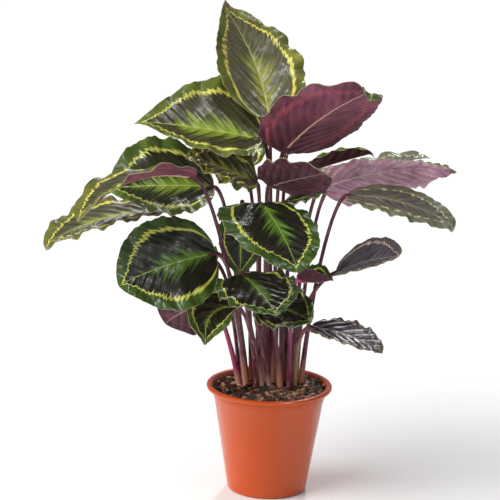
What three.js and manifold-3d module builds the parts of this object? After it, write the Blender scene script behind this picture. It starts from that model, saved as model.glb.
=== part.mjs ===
// A potted calathea: a tapered plastic nursery pot, the potting mix in it, and a clump of leaves.
// Every leaf is a petiole, which stands in its own hole in the mix, and a blade, which starts where
// the petiole ends. Millimetres, +Z up. The origin is the middle of the pot's foot, on the surface
// that it stands on, and the plant's display side faces -Y.
import * as THREE from "three";
import { mergeVertices } from "three/addons/utils/BufferGeometryUtils.js";
import Module from "manifold-3d";

const wasm = await Module();
wasm.setup();

// ---- Driving dimensions ----
const POT_HEIGHT = 147;
const RIM_RADIUS = 85; // outside of the rolled rim
const RIM_HEIGHT = 6;
const RIM_FLARE = 4; // how far under the rim the wall starts to flare out to it
const RIM_INSET = 9; // how far the body stands in from the rim's outside
const FOOT_RADIUS = 54;
const FOOT_CORNER = 5; // radius of the corner between wall and foot
const SHOULDER_DROP = 12; // from the rim's underside to the step where pots rest in each other
const SHOULDER_STEP = 1.2;
const POT_WALL = 2;
const FLOOR_RISE = 3; // the drained channel in the foot stands this far off the table
const FOOT_RING = 9; // width of the flat ring that the pot stands on
const PAD_RADIUS = 20; // the flat pad in the middle of the foot, level with the ring
const DRAIN_COUNT = 8;
const DRAIN_RADIUS = 5;
const DRAIN_CIRCLE = 31;
const BASE_STEP = 1; // how much narrower the cavity's floor and pad are than the outside's
const RIM_BRIM = 0.5; // how far the rim's top falls towards the inside
const SEAM_GAP = 0.3; // between pieces that touch

const SOIL_TOP = 139; // at the pot's wall
const SOIL_MOUND = 3; // how much higher the mix stands round the stems
const SOIL_LUMP = 2.2; // height of its unevenness
const SMALL_LUMP = 3.5; // how far apart its lumps are, divided by 2 pi
const LARGE_LUMP = 5;
const SOIL_FIT = 0.6; // between the mix and the pot's wall
const SOIL_RINGS = [1, 0.88, 0.72, 0.54, 0.36, 0.18]; // shares of its radius
const STEM_DEPTH = 26; // how far a petiole goes into the mix

const BLADE_THICKNESS = 1;
const MIDRIB_HEIGHT = 1.8; // how far the midrib stands out under the blade, at its base
const TIP_POINT = 0.4; // how much more pointed a blade is at its tip than at its base
const PETIOLE_TOP_RADIUS = 2.3;
const PETIOLE_BOW = 0.5; // 0 for a petiole that heads straight for its blade, 1 for one that starts upright
const PULVINUS_LENGTH = 26; // the thicker joint just below the blade
const PULVINUS_SWELL = 0.7;
const SHEATH_SHARE = 0.45; // the part of the petiole, from its root, that the sheath thickens
const SHEATH_TAPER = 1.4; // above 1, the sheath narrows fastest near the mix
const PETIOLE_TAPER = 0.8; // how much thicker the petiole is at its root than at its top, without the sheath
const RISING_SHARE = 0.45; // how much of its way a petiole rises before it turns to its blade
const TIP_HALF_WIDTH = 0.8;
const WAVE_GROWTH = 3; // power by which the waves grow towards the margin
const HALF_PHASE = 2; // how far the right margin's waves are out of step with the left's, in radians
const STRAIGHT = 1e-6; // the curl of a half that doesn't bend, in radians

// ---- Resolution ----
const POT_SIDES = 40;
const DRAIN_SIDES = 10;
const PETIOLE_SIDES = 6;
const PETIOLE_STEPS = 9;
const BLADE_ROWS = 16;
const BLADE_COLUMNS = [-1, -0.55, 0, 0.55, 1]; // share of the half width, right margin to left margin
const MIDRIB_STEPS = 8; // straight steps of the midrib between two rows
const ROW_CROWDING = 0.1; // 0 for even rows, more for rows that crowd at the neck and the tip
const RING_CROWDING = 1.6; // 1 for even rings along a petiole, more for rings that crowd at its top

const radians = THREE.MathUtils.degToRad;
const mix = THREE.MathUtils.lerp;

// ---- The leaves ----
// root: where the petiole leaves the mix. neck: where the blade starts. heading: the way the midrib points in
// plan, counted from +X towards +Y. pitch: its angle above the horizon. roll: turns the blade about the
// midrib and lifts its left side. Each is given at the neck and at the tip, in degrees. cup: how far the
// left and the right half fold up from flat. curl: how much further each bends by its margin. wave: the
// height of the waves along the left and the right margin. ripples: how many waves. sheath: the petiole's
// radius at the mix. bend: the reach of the petiole's bend into the blade. lean: by what share the left half
// is wider than half the width, and the right half narrower.
const LEAVES = [
  {
    name: "crown", root: [0, 26], neck: [-10, 10, 507],
    heading: [104, 142], pitch: [52, 42], roll: [0, 0],
    length: 190, width: 134, widest: 0.4, point: 0.72, lean: 0.05, cup: [10, 12], curl: [12, 8],
    wave: [1.5, 5], ripples: 4.5, phase: 0.4, sheath: 4.3, bend: 22,
  },
  {
    name: "left_high", root: [-11.5, 26], neck: [-20, 10, 481],
    heading: [190, 190], pitch: [13, 4], roll: [-40, -40],
    length: 171, width: 138, widest: 0.34, point: 0.85, lean: -0.05, cup: [22, 24], curl: [4, 4],
    wave: [4, 4], ripples: 4.5, phase: 1.1, sheath: 4.3, bend: 22,
  },
  {
    name: "left_mid", root: [-34.5, 26], neck: [-81, -5, 418],
    heading: [196, 204], pitch: [6, -2], roll: [-42, -42],
    length: 145, width: 138, widest: 0.5, point: 0.5, lean: 0.05, cup: [22, 22], curl: [4, 4],
    wave: [3.5, 3.5], ripples: 4.5, phase: 2.3, sheath: 4.3, bend: 22,
  },
  {
    name: "left_folded", root: [-28, -1], neck: [-103, -92, 449],
    heading: [200, 204], pitch: [16, -48], roll: [0, -26],
    length: 176, width: 92, widest: 0.5, point: 0.45, lean: 0.03, cup: [34, -6], curl: [8, 0],
    wave: [4, 4], ripples: 4, phase: 0.2, sheath: 4.1, bend: 22,
  },
  {
    name: "left_drooping", root: [-34.5, 6], neck: [-143, -41, 392.5],
    heading: [198, 204], pitch: [4, -30], roll: [-12, -10],
    length: 174, width: 94, widest: 0.5, point: 0.45, lean: -0.04, cup: [12, 2], curl: [6, 2],
    wave: [4, 4], ripples: 4.5, phase: 1.7, sheath: 4.3, bend: 22,
  },
  {
    name: "left_round", root: [-28.5, 16], neck: [-76, -43, 337],
    heading: [202, 214], pitch: [-6, -18], roll: [-56, -52],
    length: 142, width: 134, widest: 0.48, point: 0.44, lean: 0.05, cup: [10, 10], curl: [6, 8],
    wave: [2.4, 2], ripples: 4.5, phase: 0.9, sheath: 4.5, bend: 22,
  },
  {
    name: "left_turned", root: [-40, 16], neck: [-70, 8, 263],
    heading: [162, 154], pitch: [-20, -40], roll: [64, 66],
    length: 92, width: 104, widest: 0.46, point: 0.34, lean: -0.04, cup: [6, 6], curl: [6, 6],
    wave: [3, 3], ripples: 4, phase: 0.5, sheath: 4.3, bend: 22,
  },
  {
    name: "front_small", root: [-17, -4], neck: [-48, -58, 269],
    heading: [190, 290], pitch: [6, -66], roll: [-46, -30],
    length: 84, width: 68, widest: 0.42, point: 0.6, lean: -0.2, cup: [10, 10], curl: [6, 8],
    wave: [3, 3], ripples: 4, phase: 2.0, sheath: 4.1, bend: 22,
  },
  {
    name: "front_centre", root: [17.5, -4], neck: [-18, -58, 410],
    heading: [-64, -68], pitch: [-14, -38], roll: [2, 2],
    length: 138, width: 133, widest: 0.36, point: 0.42, lean: -0.18, cup: [-3, 8], curl: [0, 0],
    wave: [3.5, 3.5], ripples: 4.5, phase: 1.3, sheath: 4.3, bend: 22,
  },
  {
    name: "front_shaded", root: [-23, 26], neck: [-43, -11, 396],
    heading: [-90, -88], pitch: [-60, -96], roll: [0, 0],
    length: 96, width: 60, widest: 0.42, point: 0.55, lean: 0, cup: [-2, -4], curl: [2, 2],
    wave: [2.5, 2.5], ripples: 4, phase: 0.7, sheath: 4.1, bend: 36,
  },
  {
    name: "front_waved", root: [-5.5, -4], neck: [-40, -60, 315],
    heading: [-60, -60], pitch: [-10, -26], roll: [10, 10],
    length: 100, width: 112, widest: 0.4, point: 0.5, lean: 0, cup: [-6, 4], curl: [2, 4],
    wave: [5, 5], ripples: 4.5, phase: 2.6, sheath: 4.1, bend: 22,
  },
  {
    name: "front_low", root: [6, -4], neck: [-16, -46, 272],
    heading: [-36, -30], pitch: [4, -18], roll: [24, 24],
    length: 84, width: 82, widest: 0.46, point: 0.5, lean: -0.12, cup: [8, 4], curl: [8, 8],
    wave: [4, 4], ripples: 4, phase: 0.1, sheath: 4.1, bend: 22,
  },
  {
    name: "right_boat", root: [26.5, -1.5], neck: [34, -26, 300],
    heading: [-32, -26], pitch: [-4, 22], roll: [0, 0],
    length: 54, width: 55, widest: 0.46, point: 0.55, lean: 0, cup: [40, 40], curl: [24, 24],
    wave: [1.5, 1.5], ripples: 4, phase: 1.9, sheath: 3.9, bend: 10,
  },
  {
    name: "right_grey", root: [23, 7.5], neck: [83, -34, 313],
    heading: [-30, -24], pitch: [30, 12], roll: [22, 20],
    length: 104, width: 78, widest: 0.5, point: 0.46, lean: 0.05, cup: [14, 10], curl: [6, 8],
    wave: [0.8, 0.8], ripples: 4.5, phase: 0.3, sheath: 4.1, bend: 60,
  },
  {
    name: "right_scalloped", root: [40.5, 16], neck: [95, -42, 420],
    heading: [-14, -14], pitch: [6, -30], roll: [8, 10],
    length: 154, width: 86, widest: 0.46, point: 0.42, lean: -0.05, cup: [4, 0], curl: [4, 0],
    wave: [0.8, 2.6], ripples: 5, phase: 1.2, sheath: 4.3, bend: 22,
  },
  {
    name: "right_turned", root: [29, 17], neck: [61, -2, 420],
    heading: [-18, -14], pitch: [26, 0], roll: [-60, -32],
    length: 190, width: 94, widest: 0.4, point: 0.5, lean: 0.05, cup: [-8, -14], curl: [0, 0],
    wave: [4, 2], ripples: 5, phase: 0.8, sheath: 4.3, bend: 22,
  },
  {
    name: "right_hidden", root: [34.5, 26], neck: [72, 42, 407],
    heading: [8, 10], pitch: [28, 10], roll: [0, 0],
    length: 146, width: 84, widest: 0.46, point: 0.55, lean: -0.04, cup: [10, 10], curl: [6, 6],
    wave: [3, 3], ripples: 4.5, phase: 2.2, sheath: 4.3, bend: 22,
  },
  {
    name: "right_rolled", root: [23, 26], neck: [35, 42, 429],
    heading: [-4, -8], pitch: [22, 16], roll: [0, -10],
    length: 104, width: 38, widest: 0.46, point: 0.55, lean: 0, cup: [50, 48], curl: [20, 20],
    wave: [1.5, 1.5], ripples: 4, phase: 0, sheath: 3.9, bend: 22,
  },
  {
    name: "top_turned", root: [6, 16], neck: [10, -20, 471],
    heading: [-46, -32], pitch: [46, 24], roll: [-30, -30],
    length: 184, width: 138, widest: 0.4, point: 0.42, lean: 0.08, cup: [10, 4], curl: [8, 4],
    wave: [1.5, 5], ripples: 4, phase: 1.5, sheath: 4.5, bend: 22,
  },
  {
    name: "centre_turned", root: [-5.5, 16], neck: [-8, -26, 426],
    heading: [-48, -40], pitch: [22, 16], roll: [-42, -42],
    length: 112, width: 92, widest: 0.46, point: 0.5, lean: -0.05, cup: [6, -4], curl: [6, 0],
    wave: [4, 4], ripples: 4.5, phase: 0.6, sheath: 4.3, bend: 10,
  },
  {
    name: "centre_shaded", root: [17.5, 16], neck: [14, -14, 402],
    heading: [-6, -2], pitch: [16, 18], roll: [14, 14],
    length: 58, width: 36, widest: 0.46, point: 0.55, lean: 0.04, cup: [8, 8], curl: [6, 6],
    wave: [3, 3], ripples: 4, phase: 2.9, sheath: 3.9, bend: 10,
  },
  {
    name: "centre_waved", root: [-17, 16], neck: [-24, -6, 425],
    heading: [192, 196], pitch: [28, 16], roll: [-30, -26],
    length: 104, width: 98, widest: 0.46, point: 0.55, lean: 0.05, cup: [12, 12], curl: [8, 8],
    wave: [6, 6], ripples: 4.5, phase: 1, sheath: 4.1, bend: 8,
  },
  {
    name: "right_low", root: [34.5, 6], neck: [54, -15, 232],
    heading: [-20, -18], pitch: [2, -26], roll: [8, 10],
    length: 105, width: 68, widest: 0.46, point: 0.44, lean: -0.05, cup: [6, 6], curl: [6, 6],
    wave: [2.2, 1.5], ripples: 4.5, phase: 0.4, sheath: 4.3, bend: 22,
  },
  {
    name: "back_crown", root: [6, 36], neck: [14, 74, 448],
    heading: [84, 88], pitch: [50, 20], roll: [6, 6],
    length: 138, width: 100, widest: 0.42, point: 0.6, lean: -0.05, cup: [14, 14], curl: [6, 6],
    wave: [3.5, 3.5], ripples: 4.5, phase: 2.4, sheath: 4.3, bend: 22,
  },
  {
    name: "back_high", root: [-5.5, 36], neck: [-40, 66, 428],
    heading: [116, 124], pitch: [18, -14], roll: [0, 0],
    length: 142, width: 112, widest: 0.42, point: 0.6, lean: 0.05, cup: [12, 12], curl: [6, 6],
    wave: [4, 4], ripples: 4.5, phase: 1.8, sheath: 4.3, bend: 22,
  },
  {
    name: "back_mid", root: [-17, 36], neck: [-22, 82, 318],
    heading: [96, 102], pitch: [10, -30], roll: [0, 0],
    length: 132, width: 106, widest: 0.42, point: 0.6, lean: -0.05, cup: [10, 10], curl: [6, 6],
    wave: [4, 4], ripples: 4.5, phase: 0.3, sheath: 4.3, bend: 22,
  },
  {
    name: "back_left", root: [-28.5, 36], neck: [-80, 60, 300],
    heading: [148, 154], pitch: [4, -26], roll: [4, 4],
    length: 126, width: 98, widest: 0.42, point: 0.6, lean: 0.05, cup: [10, 10], curl: [6, 6],
    wave: [4, 4], ripples: 4.5, phase: 1.4, sheath: 4.3, bend: 22,
  },
  {
    name: "back_right", root: [17.5, 36], neck: [30, 62, 404],
    heading: [64, 58], pitch: [10, -14], roll: [0, 0],
    length: 132, width: 96, widest: 0.42, point: 0.6, lean: -0.05, cup: [12, 12], curl: [6, 6],
    wave: [4, 4], ripples: 4.5, phase: 2.7, sheath: 4.3, bend: 22,
  },
];

// ---- Finishes ----
const POT_FINISH = { color: "#d9602f", roughness: 0.38, metalness: 0 };
const SOIL_FINISH = { color: "#3b2c22", roughness: 0.95, metalness: 0 };
const BLADE_FINISH = { color: "#2c4a22", roughness: 0.42, metalness: 0 };
const PETIOLE_FINISH = { color: "#5a2437", roughness: 0.45, metalness: 0 };

// ---- Solids ----
/** A closed geometry as a manifold-3d solid. */
function solidOf(geometry) {
  const bare = geometry.clone();
  bare.deleteAttribute("normal");
  bare.deleteAttribute("uv");
  const merged = mergeVertices(bare, 1e-3);
  const vertProperties = merged.attributes.position.array;
  const triVerts = new Uint32Array(merged.index.array);
  return new wasm.Manifold(new wasm.Mesh({ numProp: 3, vertProperties, triVerts }));
}

/** A manifold-3d solid as a flat-shaded geometry. */
function geometryOf(solid) {
  const mesh = solid.getMesh();
  const stride = mesh.numProp;
  const positions = new Float32Array(mesh.numVert * 3);
  for (let i = 0; i < mesh.numVert; i++) {
    positions.set(mesh.vertProperties.subarray(i * stride, i * stride + 3), i * 3);
  }
  return geometryFrom(positions, mesh.triVerts);
}

function geometryFrom(positions, triangles) {
  const geometry = new THREE.BufferGeometry();
  geometry.setAttribute("position", new THREE.BufferAttribute(new Float32Array(positions), 3));
  geometry.setIndex(new THREE.BufferAttribute(new Uint32Array(triangles), 1));
  const flat = geometry.toNonIndexed();
  flat.computeVertexNormals();
  return flat;
}

/** A profile of [radius, height] points, turned about Z. */
function turned(profile, sides) {
  const points = profile.map(([radius, height]) => new THREE.Vector2(radius, height));
  return new THREE.LatheGeometry(points, sides).rotateX(Math.PI / 2);
}

function bodyWithHoles(geometry, holes) {
  return geometryOf(holes.reduce((solid, hole) => solid.subtract(solidOf(hole)), solidOf(geometry)));
}

/** A tapered round rod through the centres, with a direction and a radius at each. */
function rod(centres, directions, radii, sides) {
  const positions = [];
  const triangles = [];
  const last = centres.length - 1;
  let side = new THREE.Vector3(1, 0, 0);
  centres.forEach((centre, i) => {
    const forward = directions[i];
    side = side.clone().addScaledVector(forward, -side.dot(forward)).normalize();
    const up = new THREE.Vector3().crossVectors(forward, side);
    for (let k = 0; k < sides; k++) {
      const angle = (2 * Math.PI * k) / sides;
      const point = centre.clone();
      point.addScaledVector(side, radii[i] * Math.cos(angle));
      point.addScaledVector(up, radii[i] * Math.sin(angle));
      positions.push(...point);
    }
  });
  for (let i = 0; i < last; i++) {
    for (let k = 0; k < sides; k++) {
      const a = i * sides + k;
      const b = i * sides + ((k + 1) % sides);
      triangles.push(a, b, b + sides, a, b + sides, a + sides);
    }
  }
  for (let k = 1; k < sides - 1; k++) {
    triangles.push(0, k + 1, k);
    triangles.push(last * sides, last * sides + k, last * sides + k + 1);
  }
  return geometryFrom(positions, triangles);
}

// ---- Pot ----
const wallRadius = (z) => mix(FOOT_RADIUS, RIM_RADIUS - RIM_INSET, z / (POT_HEIGHT - RIM_HEIGHT));
const RIM_BOTTOM = POT_HEIGHT - RIM_HEIGHT;
const SHOULDER_Z = RIM_BOTTOM - SHOULDER_DROP;
const FLOOR_TOP = FLOOR_RISE + POT_WALL;
const CAVITY_FOOT_RADIUS = FOOT_RADIUS - POT_WALL - BASE_STEP;
const CAVITY_TOP_RADIUS = RIM_RADIUS - RIM_INSET - POT_WALL;
const CAVITY_TOP_Z = RIM_BOTTOM - POT_WALL;

function arc(centreR, centreZ, radius, fromDegrees, toDegrees, steps) {
  return Array.from({ length: steps + 1 }, (_, i) => {
    const angle = radians(mix(fromDegrees, toDegrees, i / steps));
    return [centreR + radius * Math.cos(angle), centreZ + radius * Math.sin(angle)];
  });
}

function potGeometry() {
  const lip = RIM_HEIGHT / 2;
  const insideTop = RIM_RADIUS - RIM_INSET + POT_WALL;
  const profile = [
    [0, 0],
    [PAD_RADIUS, 0],
    [PAD_RADIUS + FLOOR_RISE, FLOOR_RISE],
    [FOOT_RADIUS - FOOT_CORNER - FOOT_RING - FLOOR_RISE, FLOOR_RISE],
    [FOOT_RADIUS - FOOT_CORNER - FOOT_RING, 0],
    ...arc(FOOT_RADIUS - FOOT_CORNER, FOOT_CORNER, FOOT_CORNER, -90, 0, 3),
    [wallRadius(SHOULDER_Z), SHOULDER_Z],
    [wallRadius(SHOULDER_Z) + SHOULDER_STEP, SHOULDER_Z + SHOULDER_STEP],
    [RIM_RADIUS - RIM_INSET, RIM_BOTTOM - RIM_FLARE],
    ...arc(RIM_RADIUS - lip, RIM_BOTTOM + lip, lip, -60, 90, 4),
    [insideTop, POT_HEIGHT - RIM_BRIM],
    [CAVITY_TOP_RADIUS, CAVITY_TOP_Z],
    [CAVITY_FOOT_RADIUS, FLOOR_TOP + FOOT_CORNER],
    [CAVITY_FOOT_RADIUS + BASE_STEP - FOOT_CORNER, FLOOR_TOP],
    [PAD_RADIUS + FLOOR_RISE - BASE_STEP, FLOOR_TOP],
    [PAD_RADIUS - BASE_STEP, POT_WALL],
    [0, POT_WALL],
  ];
  const holes = Array.from({ length: DRAIN_COUNT }, (_, i) => {
    const angle = (2 * Math.PI * i) / DRAIN_COUNT;
    const hole = new THREE.CylinderGeometry(DRAIN_RADIUS, DRAIN_RADIUS, 4 * FLOOR_TOP, DRAIN_SIDES);
    hole.rotateX(Math.PI / 2);
    return hole.translate(DRAIN_CIRCLE * Math.cos(angle), DRAIN_CIRCLE * Math.sin(angle), 0);
  });
  return bodyWithHoles(turned(profile, POT_SIDES), holes);
}

// ---- Leaves ----
/** The blade's half width at u, from 0 at the neck to 1 at the tip, as a share of its widest. */
function outline(leaf, u) {
  const warped = u ** (Math.log(0.5) / Math.log(leaf.widest));
  return Math.sin(Math.PI * Math.min(warped, 1)) ** (leaf.point * (1 + TIP_POINT * u ** 4));
}

/** Puts the rows closer together at the neck and the tip. */
const rowAt = (t) => t - ROW_CROWDING * Math.sin(2 * Math.PI * t);

/** The midrib's direction, and the blade's left and upward directions, at u. */
function bladeFrame(leaf, u) {
  const heading = radians(mix(...leaf.heading, u));
  const pitch = radians(mix(...leaf.pitch, u));
  const roll = radians(mix(...leaf.roll, u));
  const forward = new THREE.Vector3(
    Math.cos(pitch) * Math.cos(heading),
    Math.cos(pitch) * Math.sin(heading),
    Math.sin(pitch),
  );
  const left = new THREE.Vector3(-Math.sin(heading), Math.cos(heading), 0);
  const up = new THREE.Vector3().crossVectors(forward, left);
  left.applyAxisAngle(forward, roll);
  up.applyAxisAngle(forward, roll);
  return { forward, left, up };
}

/** The midrib's points at the rows. */
function midribOf(leaf, rows) {
  const point = new THREE.Vector3(...leaf.neck);
  let reached = 0;
  return rows.map((u) => {
    const step = (u - reached) / MIDRIB_STEPS;
    for (let i = 0; i < MIDRIB_STEPS; i++) {
      point.addScaledVector(bladeFrame(leaf, reached + (i + 0.5) * step).forward, step * leaf.length);
    }
    reached = u;
    return point.clone();
  });
}

/** How far out and up a half of the blade has got at a share of its width, and its slope there. */
function crossSection(leaf, share) {
  const half = share > 0 ? 0 : 1;
  const start = radians(leaf.cup[half]);
  const bend = radians(leaf.curl[half]) || STRAIGHT;
  const reach = Math.abs(share);
  const slope = start + bend * reach;
  const out = (Math.sin(slope) - Math.sin(start)) / bend;
  const rise = (Math.cos(start) - Math.cos(slope)) / bend;
  return { out: Math.sign(share) * out, rise, slope: Math.sign(share) * slope };
}

function bladeGeometry(leaf) {
  const rows = Array.from({ length: BLADE_ROWS + 1 }, (_, i) => rowAt(i / BLADE_ROWS));
  const midrib = midribOf(leaf, rows);
  const columns = BLADE_COLUMNS.length;
  const faces = { top: [], bottom: [] };
  rows.forEach((u, i) => {
    const { left, up } = bladeFrame(leaf, u);
    const leastHalfWidth = mix(PETIOLE_TOP_RADIUS, TIP_HALF_WIDTH, u);
    const halfWidth = Math.max((outline(leaf, u) * leaf.width) / 2, leastHalfWidth);
    for (const share of BLADE_COLUMNS) {
      const { out, rise, slope } = crossSection(leaf, share);
      const phase = leaf.phase + (share > 0 ? 0 : HALF_PHASE);
      const ripple = Math.sin(2 * Math.PI * leaf.ripples * u + phase) * Math.abs(share) ** WAVE_GROWTH;
      const reach = halfWidth * (1 + Math.sign(share) * leaf.lean);
      const height = reach * rise + leaf.wave[share > 0 ? 0 : 1] * outline(leaf, u) * ripple;
      const point = midrib[i].clone().addScaledVector(left, reach * out).addScaledVector(up, height);
      const normal = up.clone().multiplyScalar(Math.cos(slope)).addScaledVector(left, -Math.sin(slope));
      const rib = share === 0 ? mix(MIDRIB_HEIGHT, 0, u) : 0;
      faces.top.push(point.clone().addScaledVector(normal, BLADE_THICKNESS / 2));
      faces.bottom.push(point.addScaledVector(normal, -BLADE_THICKNESS / 2 - rib));
    }
  });
  const count = faces.top.length;
  const triangles = [];
  const quad = (a, b, c, d) => triangles.push(a, b, c, a, c, d);
  for (let i = 0; i < BLADE_ROWS; i++) {
    for (let j = 0; j < columns - 1; j++) {
      const a = i * columns + j;
      const b = a + columns;
      triangles.push(a, b, b + 1, a, b + 1, a + 1);
      triangles.push(count + a, count + b + 1, count + b, count + a, count + a + 1, count + b + 1);
    }
    const right = i * columns;
    const left = right + columns - 1;
    quad(right, count + right, count + right + columns, right + columns);
    quad(left, left + columns, count + left + columns, count + left);
  }
  for (let j = 0; j < columns - 1; j++) {
    const end = BLADE_ROWS * columns + j;
    quad(j, j + 1, count + j + 1, count + j);
    quad(end, count + end, count + end + 1, end + 1);
  }
  return geometryFrom([...faces.top, ...faces.bottom].flatMap((p) => [...p]), triangles);
}

/** The petiole's centre line: up out of the mix, then over into the blade's own direction. */
function petioleCurve(leaf) {
  const { forward } = bladeFrame(leaf, 0);
  const root = new THREE.Vector3(...leaf.root, SOIL_TOP - STEM_DEPTH);
  const end = new THREE.Vector3(...leaf.neck).addScaledVector(forward, -SEAM_GAP);
  const arriving = end.clone().addScaledVector(forward, -leaf.bend);
  const way = arriving.clone().sub(root);
  const upward = new THREE.Vector3(0, 0, way.length());
  const rising = root.clone().addScaledVector(way.lerp(upward, PETIOLE_BOW), RISING_SHARE);
  return new THREE.CubicBezierCurve3(root, rising, arriving, end);
}

function petioleRadius(leaf, curve, u) {
  const sheath = Math.max(0, 1 - u / SHEATH_SHARE) ** SHEATH_TAPER * (leaf.sheath - PETIOLE_TOP_RADIUS);
  const fromTop = (1 - u) * curve.getLength();
  const swell = PULVINUS_SWELL * Math.max(0, 1 - fromTop / PULVINUS_LENGTH);
  return PETIOLE_TOP_RADIUS + sheath + PETIOLE_TAPER * (1 - u) + swell;
}

function petioleGeometry(leaf, extraRadius = 0) {
  const curve = petioleCurve(leaf);
  const rings = Array.from({ length: PETIOLE_STEPS + 1 }, (_, i) => i / PETIOLE_STEPS);
  const shares = rings.map((ring) => 1 - (1 - ring) ** RING_CROWDING);
  const centres = shares.map((u) => curve.getPointAt(u));
  const directions = shares.map((u) => curve.getTangentAt(u));
  const radii = shares.map((u) => petioleRadius(leaf, curve, u) + extraRadius);
  return rod(centres, directions, radii, PETIOLE_SIDES);
}

// ---- Potting mix ----
/** The radius of the pot's cavity, at a height between its rounded foot and its rim. */
const cavityRadius = (z) => mix(CAVITY_FOOT_RADIUS, CAVITY_TOP_RADIUS,
  (z - FLOOR_TOP - FOOT_CORNER) / (CAVITY_TOP_Z - FLOOR_TOP - FOOT_CORNER));

/** The height of the mix's surface: a low mound round the stems, uneven all over. */
function soilHeight(x, y) {
  const share = Math.hypot(x, y) / cavityRadius(SOIL_TOP);
  const small = Math.sin(x / SMALL_LUMP + 1) * Math.cos(y / SMALL_LUMP);
  const large = Math.sin((x - y) / LARGE_LUMP);
  return SOIL_TOP + SOIL_MOUND * (1 - share * share) + (SOIL_LUMP * (small + large)) / 2;
}

function soilGeometry() {
  const foot = cavityRadius(FLOOR_TOP + FOOT_CORNER) - SOIL_FIT;
  const top = cavityRadius(SOIL_TOP) - SOIL_FIT;
  const profile = [
    [0, POT_WALL + SEAM_GAP],
    [PAD_RADIUS - BASE_STEP - SEAM_GAP, POT_WALL + SEAM_GAP],
    [PAD_RADIUS + FLOOR_RISE - BASE_STEP - SEAM_GAP, FLOOR_TOP + SEAM_GAP],
    [foot - FOOT_CORNER, FLOOR_TOP + SEAM_GAP],
    [foot, FLOOR_TOP + FOOT_CORNER],
    ...SOIL_RINGS.map((share) => [top * share, SOIL_TOP]),
    [0, SOIL_TOP],
  ];
  const body = turned(profile, POT_SIDES);
  const positions = body.attributes.position;
  for (let i = 0; i < positions.count; i++) {
    if (positions.getZ(i) > SOIL_TOP - SEAM_GAP) {
      positions.setZ(i, soilHeight(positions.getX(i), positions.getY(i)));
    }
  }
  return bodyWithHoles(body, LEAVES.map((leaf) => petioleGeometry(leaf, SEAM_GAP)));
}

// ---- Assembly ----
function named(name, geometry, finish) {
  const mesh = new THREE.Mesh(geometry, new THREE.MeshStandardMaterial(finish));
  mesh.name = name;
  return mesh;
}

const plant = new THREE.Group();
plant.add(named("pot", potGeometry(), POT_FINISH));
plant.add(named("potting_mix", soilGeometry(), SOIL_FINISH));
for (const leaf of LEAVES) {
  plant.add(named(`petiole_${leaf.name}`, petioleGeometry(leaf), PETIOLE_FINISH));
  plant.add(named(`blade_${leaf.name}`, bladeGeometry(leaf), BLADE_FINISH));
}

export default plant;
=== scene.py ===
"""A potted calathea dressed for rendering: fine blades, petioles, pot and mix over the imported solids."""

import logging
import math
from collections.abc import Callable
from dataclasses import dataclass
from enum import Enum
from functools import cache

import bmesh
import bpy
import numpy as np
from mathutils import Matrix, Vector


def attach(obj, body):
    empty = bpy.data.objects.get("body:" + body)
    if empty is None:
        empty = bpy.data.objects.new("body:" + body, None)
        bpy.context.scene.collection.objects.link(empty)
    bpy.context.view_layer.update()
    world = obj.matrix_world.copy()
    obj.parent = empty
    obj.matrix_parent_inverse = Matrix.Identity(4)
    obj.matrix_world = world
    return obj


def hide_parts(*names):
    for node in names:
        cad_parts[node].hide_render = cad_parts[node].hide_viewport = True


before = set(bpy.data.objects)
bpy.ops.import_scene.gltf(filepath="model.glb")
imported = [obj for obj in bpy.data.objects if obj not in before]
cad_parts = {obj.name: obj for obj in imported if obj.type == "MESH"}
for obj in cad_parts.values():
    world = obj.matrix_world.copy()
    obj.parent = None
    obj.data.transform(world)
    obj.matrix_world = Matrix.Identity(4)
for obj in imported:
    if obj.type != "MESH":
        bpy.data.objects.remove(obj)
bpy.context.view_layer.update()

LOG = logging.getLogger("calathea")
MM = 0.001
TURN = 2 * math.pi
MAP_SCALE = 100.0  # a blade's maps hold veins and millimetres as hundredths

Array = np.ndarray
Colour = tuple[float, float, float, float]
Piece = bpy.types.Object
Socket = bpy.types.NodeSocket
Tree = bpy.types.NodeTree


# ---- Colour and node helpers ----
def linear(code: str) -> Colour:
    """Turns an sRGB hex colour to the linear one that a shader reads.

    Args:
        code: The colour as "#rrggbb".

    Returns:
        Red, green, blue and an alpha of 1.
    """
    parts = [int(code[i : i + 2], 16) / 255 for i in (1, 3, 5)]
    red, green, blue = (c / 12.92 if c <= 0.04045 else ((c + 0.055) / 1.055) ** 2.4 for c in parts)
    return (red, green, blue, 1.0)


def add(tree: Tree, kind: str, inputs: dict, output: int | str = 0, **settings) -> Socket | None:
    """Adds a shader node with its settings, values and links.

    Args:
        tree: The material's node tree.
        kind: The node's type without "ShaderNode".
        inputs: Socket index or name to a value, a hex colour, or the output socket it is linked from.
        output: Which output is returned.
        **settings: Properties of the node.

    Returns:
        The output socket, if the node has one.
    """
    node = tree.nodes.new("ShaderNode" + kind)
    for name, value in settings.items():
        setattr(node, name, value)
    for key, value in inputs.items():
        if isinstance(value, Socket):
            tree.links.new(value, node.inputs[key])
        else:
            node.inputs[key].default_value = linear(value) if isinstance(value, str) else value
    return node.outputs[output] if node.outputs else None


@dataclass(frozen=True)
class Finish:
    """A real material with the way its surface was made, under its Blender material's name."""

    name: str

    def paint(self, tree: Tree) -> dict:
        """Adds the pattern's nodes to a tree and returns the inputs of the shader."""
        raise NotImplementedError


@cache
def material_of(finish: Finish) -> bpy.types.Material:
    """A finish's material, built once.

    Args:
        finish: The finish.

    Returns:
        The material, with the finish's shader on its output.
    """
    material = bpy.data.materials.new(finish.name)
    material.use_nodes = True
    tree = material.node_tree
    tree.nodes.clear()
    shader = add(tree, "BsdfPrincipled", finish.paint(tree))
    add(tree, "OutputMaterial", {"Surface": shader})
    return material


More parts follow.
